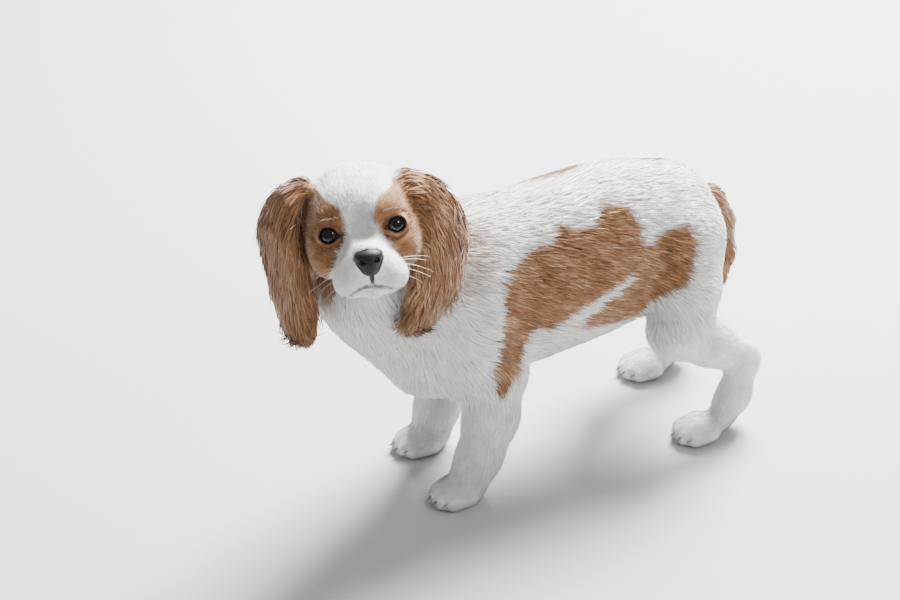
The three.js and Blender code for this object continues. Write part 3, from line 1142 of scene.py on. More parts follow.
@dataclass(frozen=True)
class EyeFinish:
    """A dark brown eye with a black pupil under a clear, wet surface."""

    pupil: Colour = (0.002, 0.002, 0.002, 1)
    iris: Colour = (0.009, 0.0045, 0.003, 1)
    iris_light: Colour = (0.032, 0.014, 0.007, 1)
    white: Colour = (0.10, 0.085, 0.08, 1)
    pupil_edge: float = 0.94
    iris_edge: float = 0.70

    def material(self, name: str, centre: np.ndarray, gaze: np.ndarray) -> bpy.types.Material:
        """Builds the finish of one eye.

        Args:
            name: The material's name.
            centre: The eyeball's centre in metres.
            gaze: The way it looks.

        Returns:
            The material.
        """
        bench = Bench(name)
        off = bench.add(
            "ShaderNodeVectorMath", {"operation": "SUBTRACT"}, {0: bench.place(), 1: Vector(centre)}, 0
        )
        way = bench.add("ShaderNodeVectorMath", {"operation": "NORMALIZE"}, {0: off}, 0)
        dot = {"operation": "DOT_PRODUCT"}
        facing = bench.add("ShaderNodeVectorMath", dot, {0: way, 1: Vector(gaze)}, 1)
        fibres = bench.grain(1900.0, 2.0)
        iris = bench.blend(self.iris, self.iris_light, (fibres + (0.88 - facing) * 2.5).clamped(0.3, 1.0))
        edge = facing.clamped(self.pupil_edge - 0.008, self.pupil_edge + 0.008)
        seen = bench.blend(iris, self.pupil, edge)
        ring = facing.clamped(self.iris_edge - 0.035, self.iris_edge + 0.02)
        return bench.finish(
            {
                "Base Color": bench.blend(self.white, seen, ring),
                "Roughness": 0.03,
                "Specular IOR Level": 0.42,
            }
        )


@dataclass(frozen=True)
class HornFinish:
    """Grey-brown claw horn with paler streaks."""

    dark: Colour = (0.15, 0.115, 0.095, 1)
    pale: Colour = (0.40, 0.33, 0.28, 1)

    def material(self) -> bpy.types.Material:
        """Builds the finish.

        Returns:
            The material.
        """
        bench = Bench("claw_horn")
        grain = bench.grain(500.0)
        return bench.finish(
            {
                "Base Color": bench.blend(self.dark, self.pale, grain.clamped(0.3, 0.8)),
                "Roughness": 0.38,
                "Coat Weight": 0.2,
                "Normal": bench.bump(grain, 0.2, 0.0002),
            }
        )


@dataclass(frozen=True)
class FloorFinish:
    """A plain pale floor."""

    colour: Colour = (0.55, 0.55, 0.54, 1)

    def material(self) -> bpy.types.Material:
        """Builds the finish."""
        bench = Bench("pale_floor")
        return bench.finish({"Base Color": self.colour, "Roughness": 0.9, "Specular IOR Level": 0.1})


# Meshes


def choose_only(piece: bpy.types.Object) -> None:
    """Selects one piece and makes it active.

    Args:
        piece: The piece.
    """
    bpy.ops.object.select_all(action="DESELECT")
    piece.select_set(True)
    bpy.context.view_layer.objects.active = piece


def mesh_piece(name: str, points: np.ndarray, faces: np.ndarray) -> bpy.types.Object:
    """A new piece from points in metres and faces that all have the same number of corners.

    Args:
        name: The piece's name.
        points: Its points.
        faces: Point numbers, one face a row.

    Returns:
        The piece.
    """
    mesh = bpy.data.meshes.new(name)
    corners = faces.shape[1]
    mesh.vertices.add(len(points))
    mesh.vertices.foreach_set("co", points.astype(np.float32).reshape(-1))
    mesh.loops.add(faces.size)
    mesh.loops.foreach_set("vertex_index", faces.astype(np.int32).reshape(-1))
    mesh.polygons.add(len(faces))
    mesh.polygons.foreach_set("loop_start", np.arange(len(faces), dtype=np.int32) * corners)
    mesh.polygons.foreach_set("use_smooth", np.ones(len(faces), bool))
    mesh.update(calc_edges=True)
    piece = bpy.data.objects.new(name, mesh)
    bpy.context.scene.collection.objects.link(piece)
    return piece


def points_of(mesh: bpy.types.Mesh) -> np.ndarray:
    """A mesh's points.

    Args:
        mesh: The mesh.

    Returns:
        One point a row.
    """
    co = np.empty(len(mesh.vertices) * 3, np.float32)
    mesh.vertices.foreach_get("co", co)
    return co.reshape(-1, 3).astype(float)


def put_points(mesh: bpy.types.Mesh, points: np.ndarray) -> None:
    """Moves a mesh's points."""
    mesh.vertices.foreach_set("co", points.astype(np.float32).reshape(-1))
    mesh.update()


def mark(mesh: bpy.types.Mesh, name: str, values: np.ndarray) -> None:
    """Gives a mesh a number at each point."""
    layer = mesh.attributes.new(name, "FLOAT", "POINT")
    layer.data.foreach_set("value", values.astype(np.float32))


def links_of(mesh: bpy.types.Mesh) -> np.ndarray:
    """A mesh's edges, as pairs of points.

    Args:
        mesh: The mesh.

    Returns:
        One edge a row.
    """
    pairs = np.empty(len(mesh.edges) * 2, np.int32)
    mesh.edges.foreach_get("vertices", pairs)
    return pairs.reshape(-1, 2)


def hand_over(
    piece: bpy.types.Object, look: bpy.types.Material, nodes: Sequence[str] = ()
) -> None:
    """Dresses a piece, lets it ride on the body and hides the solids that it stands for.

    Args:
        piece: The piece.
        look: Its finish.
        nodes: The solids that it stands for.
    """
    piece.data.materials.clear()
    piece.data.materials.append(look)
    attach(piece, BODY)
    if nodes:
        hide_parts(*nodes)
    piece.data.calc_loop_triangles()
    LOG.info("%s: %d triangles", piece.name, len(piece.data.loop_triangles))


@dataclass
class Place:
    """Turns the dog's millimetres into the row's metres."""

    shift: np.ndarray

    def row(self, p: np.ndarray) -> np.ndarray:
        """Points in the row's metres."""
        return (p + self.shift) * MM

    def dog(self, p: np.ndarray) -> np.ndarray:
        """Points in the dog's millimetres."""
        return p / MM - self.shift


# The skin


@dataclass
class Skin:
    """One skin for all the flesh, inside the solids by the coat's depth, with lids, lips and toes."""

    forms: Forms
    place: Place
    markings: Markings
    cell: float = 2.15
    opening: tuple[float, float] = (6.0, 5.4)  # half its width and half its height
    lid: float = 1.5
    # The crease and the rim of a lid: beside the opening, outside the eyeball or the lid, and radius
    lid_crease: tuple[float, float, float] = (4.4, 0.9, 0.7)
    lid_rim: tuple[float, float, float] = (0.7, 0.95, 1.0)
    tear_corner: tuple[float, float] = (2.3, 1.2)  # half its width and half its height
    depth_trunk: float = 4.2
    depth_neck: float = 5.0
    depth_ear: float = 3.0
    depth_tail: float = 5.0
    depth_skull: float = 3.2
    depth_face: float = 1.2
    depth_leg: float = 3.0
    depth_paw: float = 1.2
    search_low: tuple[float, float, float] = (-84, -246, -6)
    search_high: tuple[float, float, float] = (120, 172, 322)
    settle_turns: int = 6
    settle_reach: float = 0.9
    sole: float = 0.35
    face_middle: tuple[float, float, float] = (0.0, 10.0, -12.0)
    face_reach: float = 52.0
    # The line of the mouth's left half and the groove under the nose: side, forward, up and radius
    mouth: tuple[tuple[float, float, float, float], ...] = (
        (0, 30.0, -34.4, 0.9),
        (5.0, 30.0, -34.5, 1.0),
        (9.7, 29.0, -35.3, 1.1),
        (14.5, 26.0, -38.2, 1.1),
        (18.5, 20.0, -40.8, 1.1),
        (22.5, 11.0, -40.5, 1.0),
        (24.5, 0.0, -37.0, 0.8),
    )
    droop: float = 2.6  # how much lower the left half hangs
    cleft: tuple[tuple[float, float, float, float], ...] = (
        (0, 38.0, -24.0, 1.2),
        (0, 36.0, -29.0, 0.9),
        (0, 31.0, -34.4, 0.8),
    )

    def __post_init__(self) -> None:
        """Lays the lips and the groove under the nose on the skin."""
        end = self.mouth[-1][0]
        right = [(-x, y, z, r) for x, y, z, r in self.mouth]
        left = [(x, y, z - self.droop * math.sin(x / end * math.pi), r) for x, y, z, r in self.mouth]
        self.lips = [self.laid(right), self.laid(left)]
        self.groove = self.laid(self.cleft)

    def flesh(self, p: np.ndarray) -> np.ndarray:
        """The skin before lids, lips and soles."""
        parts = self.forms.parts(p)
        return whole(parts) + self.depth(p, self.forms.head.inward(p), parts)

    def laid(self, line: Sequence[Sequence[float]]) -> Field:
        """A line of the head's frame, laid on the skin, as a chain of thin limbs.

        Args:
            line: Places in the head's frame, each with a radius.

        Returns:
            The field of the laid line, in the head's frame.
        """
        rows = np.array(line, float)
        p = self.forms.head.at(rows[:, :3])
        forward = self.forms.head.axes()[1]
        for _ in range(10):
            d, g = slope(self.flesh, p)
            facing = g @ forward
            straight = forward * (d / np.maximum(facing, 0.3))[:, None]
            nearest = g * (d / np.maximum(lengths(g) ** 2, 0.2))[:, None]
            p = p - 0.8 * np.where(facing[:, None] > 0.3, straight, nearest)
        rows[:, :3] = self.forms.head.inward(p)
        return chain(1.0, rows)

    def gaze(self, side: int) -> np.ndarray:
        """The way an eye looks, in the head's frame."""
        return unit((side * 0.20, 1.0, 0.09))

    def eye_centre(self, side: int) -> np.ndarray:
        """An eyeball's centre, in the head's frame."""
        return np.array([side * self.forms.eye_spread, self.forms.eye_back, 0.0])

    def depth(self, p: np.ndarray, q: np.ndarray, parts: np.ndarray) -> np.ndarray:
        """How deep the coat is over each point.

        Args:
            p: Points, one a row.
            q: The same points in the head's frame.
            parts: What Forms.parts gave for them.

        Returns:
            The depth at each point.
        """
        share = shares(parts)
        muzzle = lengths(q - np.array([0.0, 24.0, -16.0]))
        head = self.depth_face + (self.depth_skull - self.depth_face) * ramp(24, 62, muzzle)
        leg = self.depth_paw + (self.depth_leg - self.depth_paw) * ramp(12, 60, p[:, 2])
        leg = leg + 1.4 * ramp(70, 130, p[:, 2])
        legs = share[:, Part.FRONT_LEFT.value : Part.HIND_RIGHT.value + 1].sum(1)
        ears = share[:, Part.EAR_LEFT.value] + share[:, Part.EAR_RIGHT.value]
        return (
            share[:, Part.TRUNK.value] * self.depth_trunk
            + share[:, Part.NECK.value] * self.depth_neck
            + share[:, Part.HEAD.value] * head
            + share[:, Part.TAIL.value] * self.depth_tail
            + legs * leg
            + ears * self.depth_ear
        )

    def opening_distance(self, q: np.ndarray, side: int) -> tuple[np.ndarray, np.ndarray, np.ndarray]:
        """The eye's opening.

        Args:
            q: Points in the head's frame.
            side: 1 for the left eye, -1 for the right.

        Returns:
            Distance across the surface to the opening's edge, distance from the eyeball's centre, and how
            far each point is ahead of that centre.
        """
        off = q - self.eye_centre(side)
        gaze = self.gaze(side)
        up = unit(np.array([0.0, 0.0, 1.0]) - gaze * gaze[2])
        across = np.cross(gaze, up)
        if across[0] * side < 0:
            across = -across
        a, b = off @ across, off @ up
        wide, tall = self.opening
        r = np.sqrt((a / wide) ** 2 + (b / tall) ** 2)
        edge = (r - 1) * tall
        corner_wide, corner_tall = self.tear_corner
        corner = np.sqrt(((a + wide * 0.86) / corner_wide) ** 2 + ((b + 1.0) / corner_tall) ** 2)
        edge = melt(edge, (corner - 1) * corner_tall, 1.6)
        return edge, lengths(off), off @ gaze

    def surface(self, p: np.ndarray) -> np.ndarray:
        """The skin's own distance field.

        Args:
            p: Points, one a row.

        Returns:
            The distance of each point, below zero inside.
        """
        q = self.forms.head.inward(p)
        d = self.flesh(p)
        face = lengths(q - np.array(self.face_middle)) < self.face_reach
        if face.any():
            d[face] = self.face(q[face], d[face])
        return carve(d, p[:, 2] - self.sole, 1.2)

    def face(self, q: np.ndarray, d: np.ndarray) -> np.ndarray:
        """Adds lids, lips and the groove under the nose.

        Args:
            q: Points in the head's frame.
            d: Their distance to the plain skin.

        Returns:
            Their distance to the finished face.
        """
        ball = self.forms.eye_radius
        for side in (1, -1):
            edge, out, ahead = self.opening_distance(q, side)
            d = melt(d, np.maximum(out - (ball + self.lid), -ahead - 2), 3.0)
            gap, height, radius = self.lid_crease
            fold = np.hypot(edge - gap, out - (ball + self.lid + height)) - radius
            d = carve(d, np.maximum(fold, -ahead), 1.2)
            gap, height, radius = self.lid_rim
            rim = np.hypot(edge - gap, out - (ball + height)) - radius
            d = melt(d, np.maximum(rim, -ahead), 1.2)
            hole = np.maximum(np.maximum(edge, ball - 1.1 - out), -ahead)
            d = carve(d, hole, 0.7)
        for lip in self.lips:
            d = carve(d, lip(q), 1.8)
        return carve(d, self.groove(q), 1.4)

    def rims(self, q: np.ndarray) -> np.ndarray:
        """How dark lids, lips and the skin round the nose are.

        Args:
            q: Points in the head's frame.

        Returns:
            0 for plain skin to 1 for dark, one value for each point.
        """
        dark = np.zeros(len(q))
        for side in (1, -1):
            edge, out, ahead = self.opening_distance(q, side)
            near_ball = np.abs(out - self.forms.eye_radius - 1.2) < 4
            dark = np.maximum(dark, ramp(1.5, 0.6, edge) * (ahead > 0) * near_ball)
        for lip in self.lips:
            dark = np.maximum(dark, 0.8 * ramp(1.2, 0.1, lip(q)))
        groove = self.groove(q)
        nose = self.forms.nose_field(q)
        return np.maximum.reduce([dark, ramp(1.3, 0.3, groove), ramp(1.4, 0.6, nose)])

    def build(self) -> bpy.types.Object:
        """Builds the skin.

        Returns:
            The skin, with its markings and its unwrap.
        """
        points, faces = net(self.surface, self.search_low, self.search_high, self.cell)
        piece = mesh_piece("skin", self.place.row(points), faces)
        self.keep_body(piece)
        self.refine(piece, self.near_face, 2)
        self.refine(piece, self.near_paws, 1)
        mesh = piece.data
        p = self.place.dog(points_of(mesh))
        p = settle(self.surface, p, links_of(mesh), self.settle_turns, self.settle_reach)
        put_points(mesh, self.place.row(p))
        choose_only(piece)
        bpy.ops.object.mode_set(mode="EDIT")
        bpy.ops.mesh.select_all(action="SELECT")
        bpy.ops.mesh.quads_convert_to_tris()
        bpy.ops.uv.smart_project(angle_limit=1.1, island_margin=0.001)
        bpy.ops.object.mode_set(mode="OBJECT")
        mesh.uv_layers[0].name = "OFBake"
        mesh.polygons.foreach_set("use_smooth", np.ones(len(mesh.polygons), bool))
        q = self.forms.head.inward(p)
        mark(mesh, "chestnut", self.markings.chestnut(p))
        mark(mesh, "shade", 0.5 + 0.35 * mottle(p, 3.0, 8))
        mark(mesh, "rim", self.rims(q))
        mark(mesh, "bare", 0.7 * ramp(1.6, 0.6, p[:, 2]))
        return piece

    def keep_body(self, piece: bpy.types.Object) -> None:
        """Drops every loose bit of the net but the biggest.

        Args:
            piece: The skin.
        """
        mesh = piece.data
        links = links_of(mesh)
        label = np.arange(len(mesh.vertices))
        while True:
            low = np.minimum(label[links[:, 0]], label[links[:, 1]])
            before = label.copy()
            np.minimum.at(label, links[:, 0], low)
            np.minimum.at(label, links[:, 1], low)
            label = label[label]
            if (label == before).all():
                break
        biggest = np.bincount(label).argmax()
        if (label == biggest).all():
            return
        choose_only(piece)
        bpy.ops.object.mode_set(mode="EDIT")
        bpy.ops.mesh.select_mode(type="VERT")
        bpy.ops.mesh.select_all(action="DESELECT")
        bpy.ops.object.mode_set(mode="OBJECT")
        mesh.vertices.foreach_set("select", label != biggest)
        bpy.ops.object.mode_set(mode="EDIT")
        bpy.ops.mesh.delete(type="VERT")
        bpy.ops.object.mode_set(mode="OBJECT")

    def near_face(self, p: np.ndarray) -> np.ndarray:
        """The faces round the eyes, nose and mouth.

        Args:
            p: Middles of faces, one a row.

        Returns:
            True for each face near them.
        """
        q = self.forms.head.inward(p)
        eyes = [lengths(q - self.eye_centre(side) - self.gaze(side) * 8) < 11.5 for side in (1, -1)]
        mouth = lengths((q - np.array([0.0, 34.0, -27.0])) / np.array([1.0, 1.0, 0.75])) < 15
        return eyes[0] | eyes[1] | mouth

    def near_paws(self, p: np.ndarray) -> np.ndarray:
        """The faces of the paws."""
        return p[:, 2] < 17

    def refine(self, piece: bpy.types.Object, pick: Callable[[np.ndarray], np.ndarray], times: int) -> None:
        """Subdivides the faces that pick chooses by their centres.

        Args:
            piece: The skin.
            pick: Says which faces are chosen, from their middles.
            times: How many times over.
        """
        mesh = piece.data
        for _ in range(times):
            centre = np.empty(len(mesh.polygons) * 3, np.float32)
            mesh.polygons.foreach_get("center", centre)
            chosen = pick(self.place.dog(centre.reshape(-1, 3).astype(float)))
            choose_only(piece)
            bpy.ops.object.mode_set(mode="EDIT")
            bpy.ops.mesh.select_mode(type="FACE")
            bpy.ops.mesh.select_all(action="DESELECT")
            bpy.ops.object.mode_set(mode="OBJECT")
            mesh.polygons.foreach_set("select", chosen)
            bpy.ops.object.mode_set(mode="EDIT")
            bpy.ops.mesh.subdivide(number_cuts=1, quadcorner="INNERVERT")
            bpy.ops.object.mode_set(mode="OBJECT")


# The coat


@dataclass(frozen=True)
class Hair:
    """How the hair of one region grows, in millimetres."""

    density: float  # tufts in a square millimetre
    length: float
    height: float
    width: float
    wave: float
    cling: float  # 1 lies along the skin, 0 hangs free
    stray: float


class Region(Enum):
    """The regions of the coat, each with its own hair."""

    MUZZLE = Hair(2.4, 3.4, 0.7, 0.55, 0.0, 1.0, 0.12)
    FACE = Hair(1.9, 5.2, 1.15, 0.62, 0.0, 1.0, 0.13)
    SKULL = Hair(1.25, 8.5, 2.7, 0.72, 0.1, 1.0, 0.2)
    EAR = Hair(0.6, 22.0, 3.4, 1.15, 1.6, 0.3, 0.26)
    NECK = Hair(0.78, 14.5, 4.2, 0.95, 0.4, 0.95, 0.16)
    CHEST = Hair(0.78, 18.0, 5.0, 1.05, 0.7, 0.85, 0.2)
    BACK = Hair(0.76, 13.5, 3.4, 0.92, 0.2, 1.0, 0.14)
    BELLY = Hair(0.6, 15.0, 3.8, 1.0, 0.4, 0.85, 0.2)
    LEG = Hair(1.0, 8.5, 2.1, 0.8, 0.1, 1.0, 0.15)
    PAW = Hair(1.7, 5.0, 1.05, 0.62, 0.0, 1.0, 0.15)
    TAIL = Hair(0.85, 19.0, 5.0, 1.15, 0.9, 0.4, 0.28)

    @property
    def column(self) -> int:
        """This region's column in a table of shares."""
        return list(Region).index(self)


@dataclass
class Coat:
    """The coat: closed, three-sided tufts laid over the skin along the lie of the hair."""

    forms: Forms
    place: Place
    markings: Markings
    skin: Skin
    seed: int = 11
    fullness: float = 0.93
    piece_limit: int = 190000
    tiny_rings: int = 1
    short_rings: int = 2
    long_rings: int = 4
    whisker_rings: int = 7
    whisker_width: float = 0.24
    root_depth: float = 0.5
    lowest: float = 0.4
    uv_patch: float = 0.0028
    brow_paleness: float = 0.12

    def regions(self, p: np.ndarray, normal: np.ndarray, parts: np.ndarray) -> np.ndarray:
        """How much each region has of a point, one column for each Region.

        Args:
            p: Roots, one a row.
            normal: The way out of the skin at each root.
            parts: What Forms.parts gave for them.

        Returns:
            The shares, which add up to 1 in each row.
        """
        share = shares(parts, 3.0)
        q = self.forms.head.inward(p)
        out = np.zeros((len(p), len(Region)))
        head = share[:, Part.HEAD.value]
        from_nose = lengths(q - np.array([0.0, 30.0, -18.0]))
        muzzle = ramp(30, 22, from_nose)
        skull = ramp(44, 66, lengths(q - np.array([0.0, 16.0, -16.0])))
        out[:, Region.MUZZLE.column] = head * muzzle
        out[:, Region.FACE.column] = head * (1 - muzzle) * (1 - skull)
        out[:, Region.SKULL.column] = head * (1 - muzzle) * skull
        out[:, Region.EAR.column] = share[:, Part.EAR_LEFT.value] + share[:, Part.EAR_RIGHT.value]
        neck, trunk = share[:, Part.NECK.value], share[:, Part.TRUNK.value]
        throat = ramp(0.1, 0.6, -normal[:, 1] * 0.8 - normal[:, 2] * 0.5) * ramp(-60, -105, p[:, 1])
        out[:, Region.CHEST.column] = (neck + trunk) * throat
        out[:, Region.NECK.column] = neck * (1 - throat)
        below = ramp(0.35, 0.8, -normal[:, 2])
        out[:, Region.BELLY.column] = trunk * (1 - throat) * below
        out[:, Region.BACK.column] = trunk * (1 - throat) * (1 - below)
        legs = share[:, Part.FRONT_LEFT.value : Part.HIND_RIGHT.value + 1].sum(1)
        paw = ramp(30, 14, p[:, 2])
        thigh = ramp(75, 125, p[:, 2])
        out[:, Region.PAW.column] = legs * paw
        out[:, Region.LEG.column] = legs * (1 - paw) * (1 - thigh)
        out[:, Region.BACK.column] += legs * thigh
        out[:, Region.TAIL.column] = share[:, Part.TAIL.value]
        return out / out.sum(1)[:, None]

    def along(self, p: np.ndarray, joints: np.ndarray) -> np.ndarray:
        """The way down a chain of joints beside each point.

        Args:
            p: Points, one a row.
            joints: The chain, each row starting with a place.

        Returns:
            A direction for each point.
        """
        total = np.zeros_like(p)
        for a, b in zip(joints[:, :3], joints[1:, :3]):
            axis = b - a
            t = np.clip((p - a) @ axis / (axis @ axis), 0, 1)
            gap = lengths(p - a - t[:, None] * axis)
            total += np.exp(-gap / 6)[:, None] * unit(axis)
        return units(total)

    def flow(self, p: np.ndarray, parts: np.ndarray) -> np.ndarray:
        """The way that the hair points, before it is laid along the skin.

        Args:
            p: Points, one a row.
            parts: What Forms.parts gave for them.

        Returns:
            A direction for each point.
        """
        share = shares(parts, 5.0)
        q = self.forms.head.inward(p)
        wide = np.clip(p[:, 0] / 50, -1, 1)
        one = np.ones(len(p))
        back = np.stack([0.15 * wide, one, -0.08 - 0.42 * np.abs(wide)], 1)
        down_front = np.stack([0.25 * wide, 0.15 * one, -one], 1)
        down_rear = np.stack([0.2 * wide, 0.45 * one, -one], 1)
        chest = ramp(-92, -136, p[:, 1])[:, None]
        rear = ramp(88, 124, p[:, 1])[:, None]
        trunk = units(back * (1 - chest) * (1 - rear) + down_front * chest + down_rear * rear)
        nape = ramp(-100, -170, p[:, 1])
        neck = units(np.stack([0.25 * wide, 0.85 - 0.5 * nape, -0.45 - 0.5 * nape], 1))
        spread = q - np.array([0.0, 40.0, -16.0])
        spread[:, 2] += 6 * ramp(0, 20, q[:, 2])
        crown = ramp(-18, -48, q[:, 1])[:, None]
        fall = np.stack([0.35 * np.sign(q[:, 0]), -0.7 * one, -0.8 * one], 1)
        head = self.forms.head.outward(units(units(spread) * (1 - crown) + units(fall) * crown))
        total = share[:, [Part.TRUNK.value]] * trunk
        total += share[:, [Part.NECK.value]] * neck
        total += share[:, [Part.HEAD.value]] * head
        for part, leg in self.forms.legs.items():
            down = self.along(p, leg.placed())
            toes = ramp(24, 9, p[:, 2])[:, None]
            way = units(down * (1 - toes) + (leg.ahead() - np.array([0, 0, 0.35])) * toes)
            high = ramp(105, 150, p[:, 2])[:, None]
            way = units(way * (1 - high) + trunk * high)
            total += share[:, [part.value]] * way
        tail = self.along(p, np.array(self.forms.tail_joints))
        total += share[:, [Part.TAIL.value]] * tail
        for part in (Part.EAR_LEFT, Part.EAR_RIGHT):
            path = np.array(self.forms.ears[part][0])
            way = self.along(q, path)
            path_middle = path[2:5, :3].mean(0)
            fan = (q - path_middle) * np.array([1, 1, 0]) * 0.012
            total += share[:, [part.value]] * self.forms.head.outward(units(way + fan))
        return units(total)

    def roots(self, rng: np.random.Generator, piece: bpy.types.Object) -> dict[str, np.ndarray]:
        """Chooses where the tufts grow.

        Args:
            rng: The source of chance.
            piece: The skin.

        Returns:
            Points, normals, places on the unwrap and regions of the tufts.
        """
        mesh = piece.data
        count = len(mesh.polygons)
        corners = np.empty(count * 3, np.int32)
        mesh.loops.foreach_get("vertex_index", corners)
        uv = np.empty(count * 6, np.float32)
        mesh.uv_layers["OFBake"].uv.foreach_get("vector", uv)
        uv = uv.reshape(-1, 3, 2).astype(float)
        tri = self.place.dog(points_of(mesh))[corners.reshape(-1, 3)]
        cross = np.cross(tri[:, 1] - tri[:, 0], tri[:, 2] - tri[:, 0])
        area = lengths(cross) / 2
        normal = units(cross)
        centre = tri.mean(1)
        parts = self.forms.parts(centre)
        region = self.regions(centre, normal, parts)
        density = region @ np.array([r.value.density for r in Region])
        density *= self.bare(centre)
        expected = area * density
        total = int(expected.sum() * self.fullness)
        pick = np.searchsorted(np.cumsum(expected), rng.random(total) * expected.sum())
        pick = np.minimum(pick, count - 1)
        pick.sort()
        a, b = rng.random(total), rng.random(total)
        over = a + b > 1
        a[over], b[over] = 1 - a[over], 1 - b[over]
        weights = np.stack([1 - a - b, a, b], 1)
        return {
            "point": np.einsum("ij,ijk->ik", weights, tri[pick]),
            "normal": normal[pick],
            "uv": np.einsum("ij,ijk->ik", weights, uv[pick]),
            "region": region[pick],
        }

    def bare(self, p: np.ndarray) -> np.ndarray:
        """0 where no hair grows: eyes, lids, nose, lips and soles.

        Args:
            p: Points, one a row.

        Returns:
            A value from 0 to 1 for each point.
        """
        q = self.forms.head.inward(p)
        keep = ramp(0.3, 1.2, p[:, 2]) * (1 - ramp(0.25, 0.6, self.skin.rims(q)))
        for side in (1, -1):
            edge, out, ahead = self.skin.opening_distance(q, side)
            keep *= np.where((ahead > 0) & (np.abs(out - 10) < 5), ramp(0.6, 1.3, edge), 1)
        return keep

    def grow(
        self, root: dict[str, np.ndarray], rng: np.random.Generator, rings: int
    ) -> tuple[np.ndarray, ...]:
        """Grows every tuft from its root.

        Args:
            root: What roots() gave.
            rng: The source of chance.
            rings: How many rings of points a tuft has below its tip.

        Returns:
            Points of each tuft as [tuft, ring and tip, xyz], the way across it, its width, and the way out
            of the coat at each point.
        """
        p, normal = root["point"], root["normal"]
        kinds = ("length", "height", "width", "wave", "cling", "stray")
        table = np.array([[getattr(r.value, k) for k in kinds] for r in Region])
        length, height, width, wave, cling, stray = (root["region"] @ table).T
        n = len(p)
        _, g = slope(self.skin.surface, p)
        normal = units(0.7 * units(g) + 0.3 * normal)
        parts = self.forms.parts(p)
        way = self.flow(p, parts)
        lock = np.stack([mottle(p, 9.0, s) for s in (21, 22, 23)], 1)
        fine = rng.normal(size=(n, 3))
        way = way + stray[:, None] * (1.1 * lock + 0.55 * fine)
        way = units(way - normal * np.einsum("ij,ij->i", way, normal)[:, None])
        length = length * (0.72 + 0.56 * rng.random(n)) * (1 + 0.12 * mottle(p, 14.0, 25))
        height = height * (0.55 + 0.75 * rng.random(n))
        across = units(np.cross(normal, way))
        phase = 2.5 * mottle(p, 16.0, 31) + 0.6 * rng.normal(size=n)
        spine = [p - normal * self.root_depth]
        outward = [units(normal + 0.22 * lock + 0.16 * fine)]
        here = p.copy()
        for ring in range(1, rings + 1):
            t = ring / rings
            here = here + way * (length / rings)[:, None]
            swing = wave * np.cos(phase + t * 5.0) * (0.35 + 0.65 * t)
            here = here + across * (swing * 1.6 / rings)[:, None]
            d, g = slope(self.skin.surface, here)
            out = units(g)
            wanted = height * (1 - (1 - t) ** 1.7)
            miss = wanted - d
            fix = np.where(miss > 0, np.minimum(miss, 4.0), np.maximum(miss * cling, -4.0))
            here = here + out * fix[:, None]
            here[:, 2] = np.maximum(here[:, 2], self.lowest)
            spine.append(here.copy())
            outward.append(units(out + 0.22 * lock + 0.16 * fine))
            way = units(way - out * np.einsum("ij,ij->i", way, out)[:, None] * cling[:, None])
            way[:, 2] -= 0.10 * (1 - cling)
            way = units(way)
        return np.stack(spine, 1), across, width, np.stack(outward, 1)

    def weave(
        self, spine: np.ndarray, across: np.ndarray, width: np.ndarray
    ) -> tuple[np.ndarray, np.ndarray]:
        """Turns the spines of tufts into points and triangles of closed, three-sided spikes.

        Args:
            spine: The middle line of each tuft, as [tuft, ring and tip, xyz].
            across: The way across each tuft.
            width: The width of each tuft.

        Returns:
            The points of each tuft, and the triangles of one tuft.
        """
        n, rings = spine.shape[0], spine.shape[1] - 1
        taper = {1: [1.0], 2: [0.8, 1.0]}.get(rings, [0.62, 1.0, 0.86, 0.6])
        profile = np.interp(np.linspace(0, 1, rings), np.linspace(0, 1, len(taper)), taper)
        points = np.empty((n, rings * 3 + 1, 3))
        for ring in range(rings):
            ahead = units(spine[:, ring + 1] - spine[:, ring])
            side = units(across - ahead * np.einsum("ij,ij->i", across, ahead)[:, None])
            out = np.cross(ahead, side)
            half = (width * 0.5 * profile[ring])[:, None]
            points[:, ring * 3] = spine[:, ring] + side * half
            points[:, ring * 3 + 1] = spine[:, ring] - side * half
            points[:, ring * 3 + 2] = spine[:, ring] - out * half * 0.8
        points[:, -1] = spine[:, -1]
        points[..., 2] = np.maximum(points[..., 2], 0.1)
        tri = [(0, 1, 2)]
        for ring in range(rings - 1):
            a, b = ring * 3, ring * 3 + 3
            for k in range(3):
                m = (k + 1) % 3
                tri += [(a + k, b + k, a + m), (a + m, b + k, b + m)]
        last, tip = (rings - 1) * 3, rings * 3
        tri += [(last + k, tip, last + (k + 1) % 3) for k in range(3)]
        return points, np.array(tri)

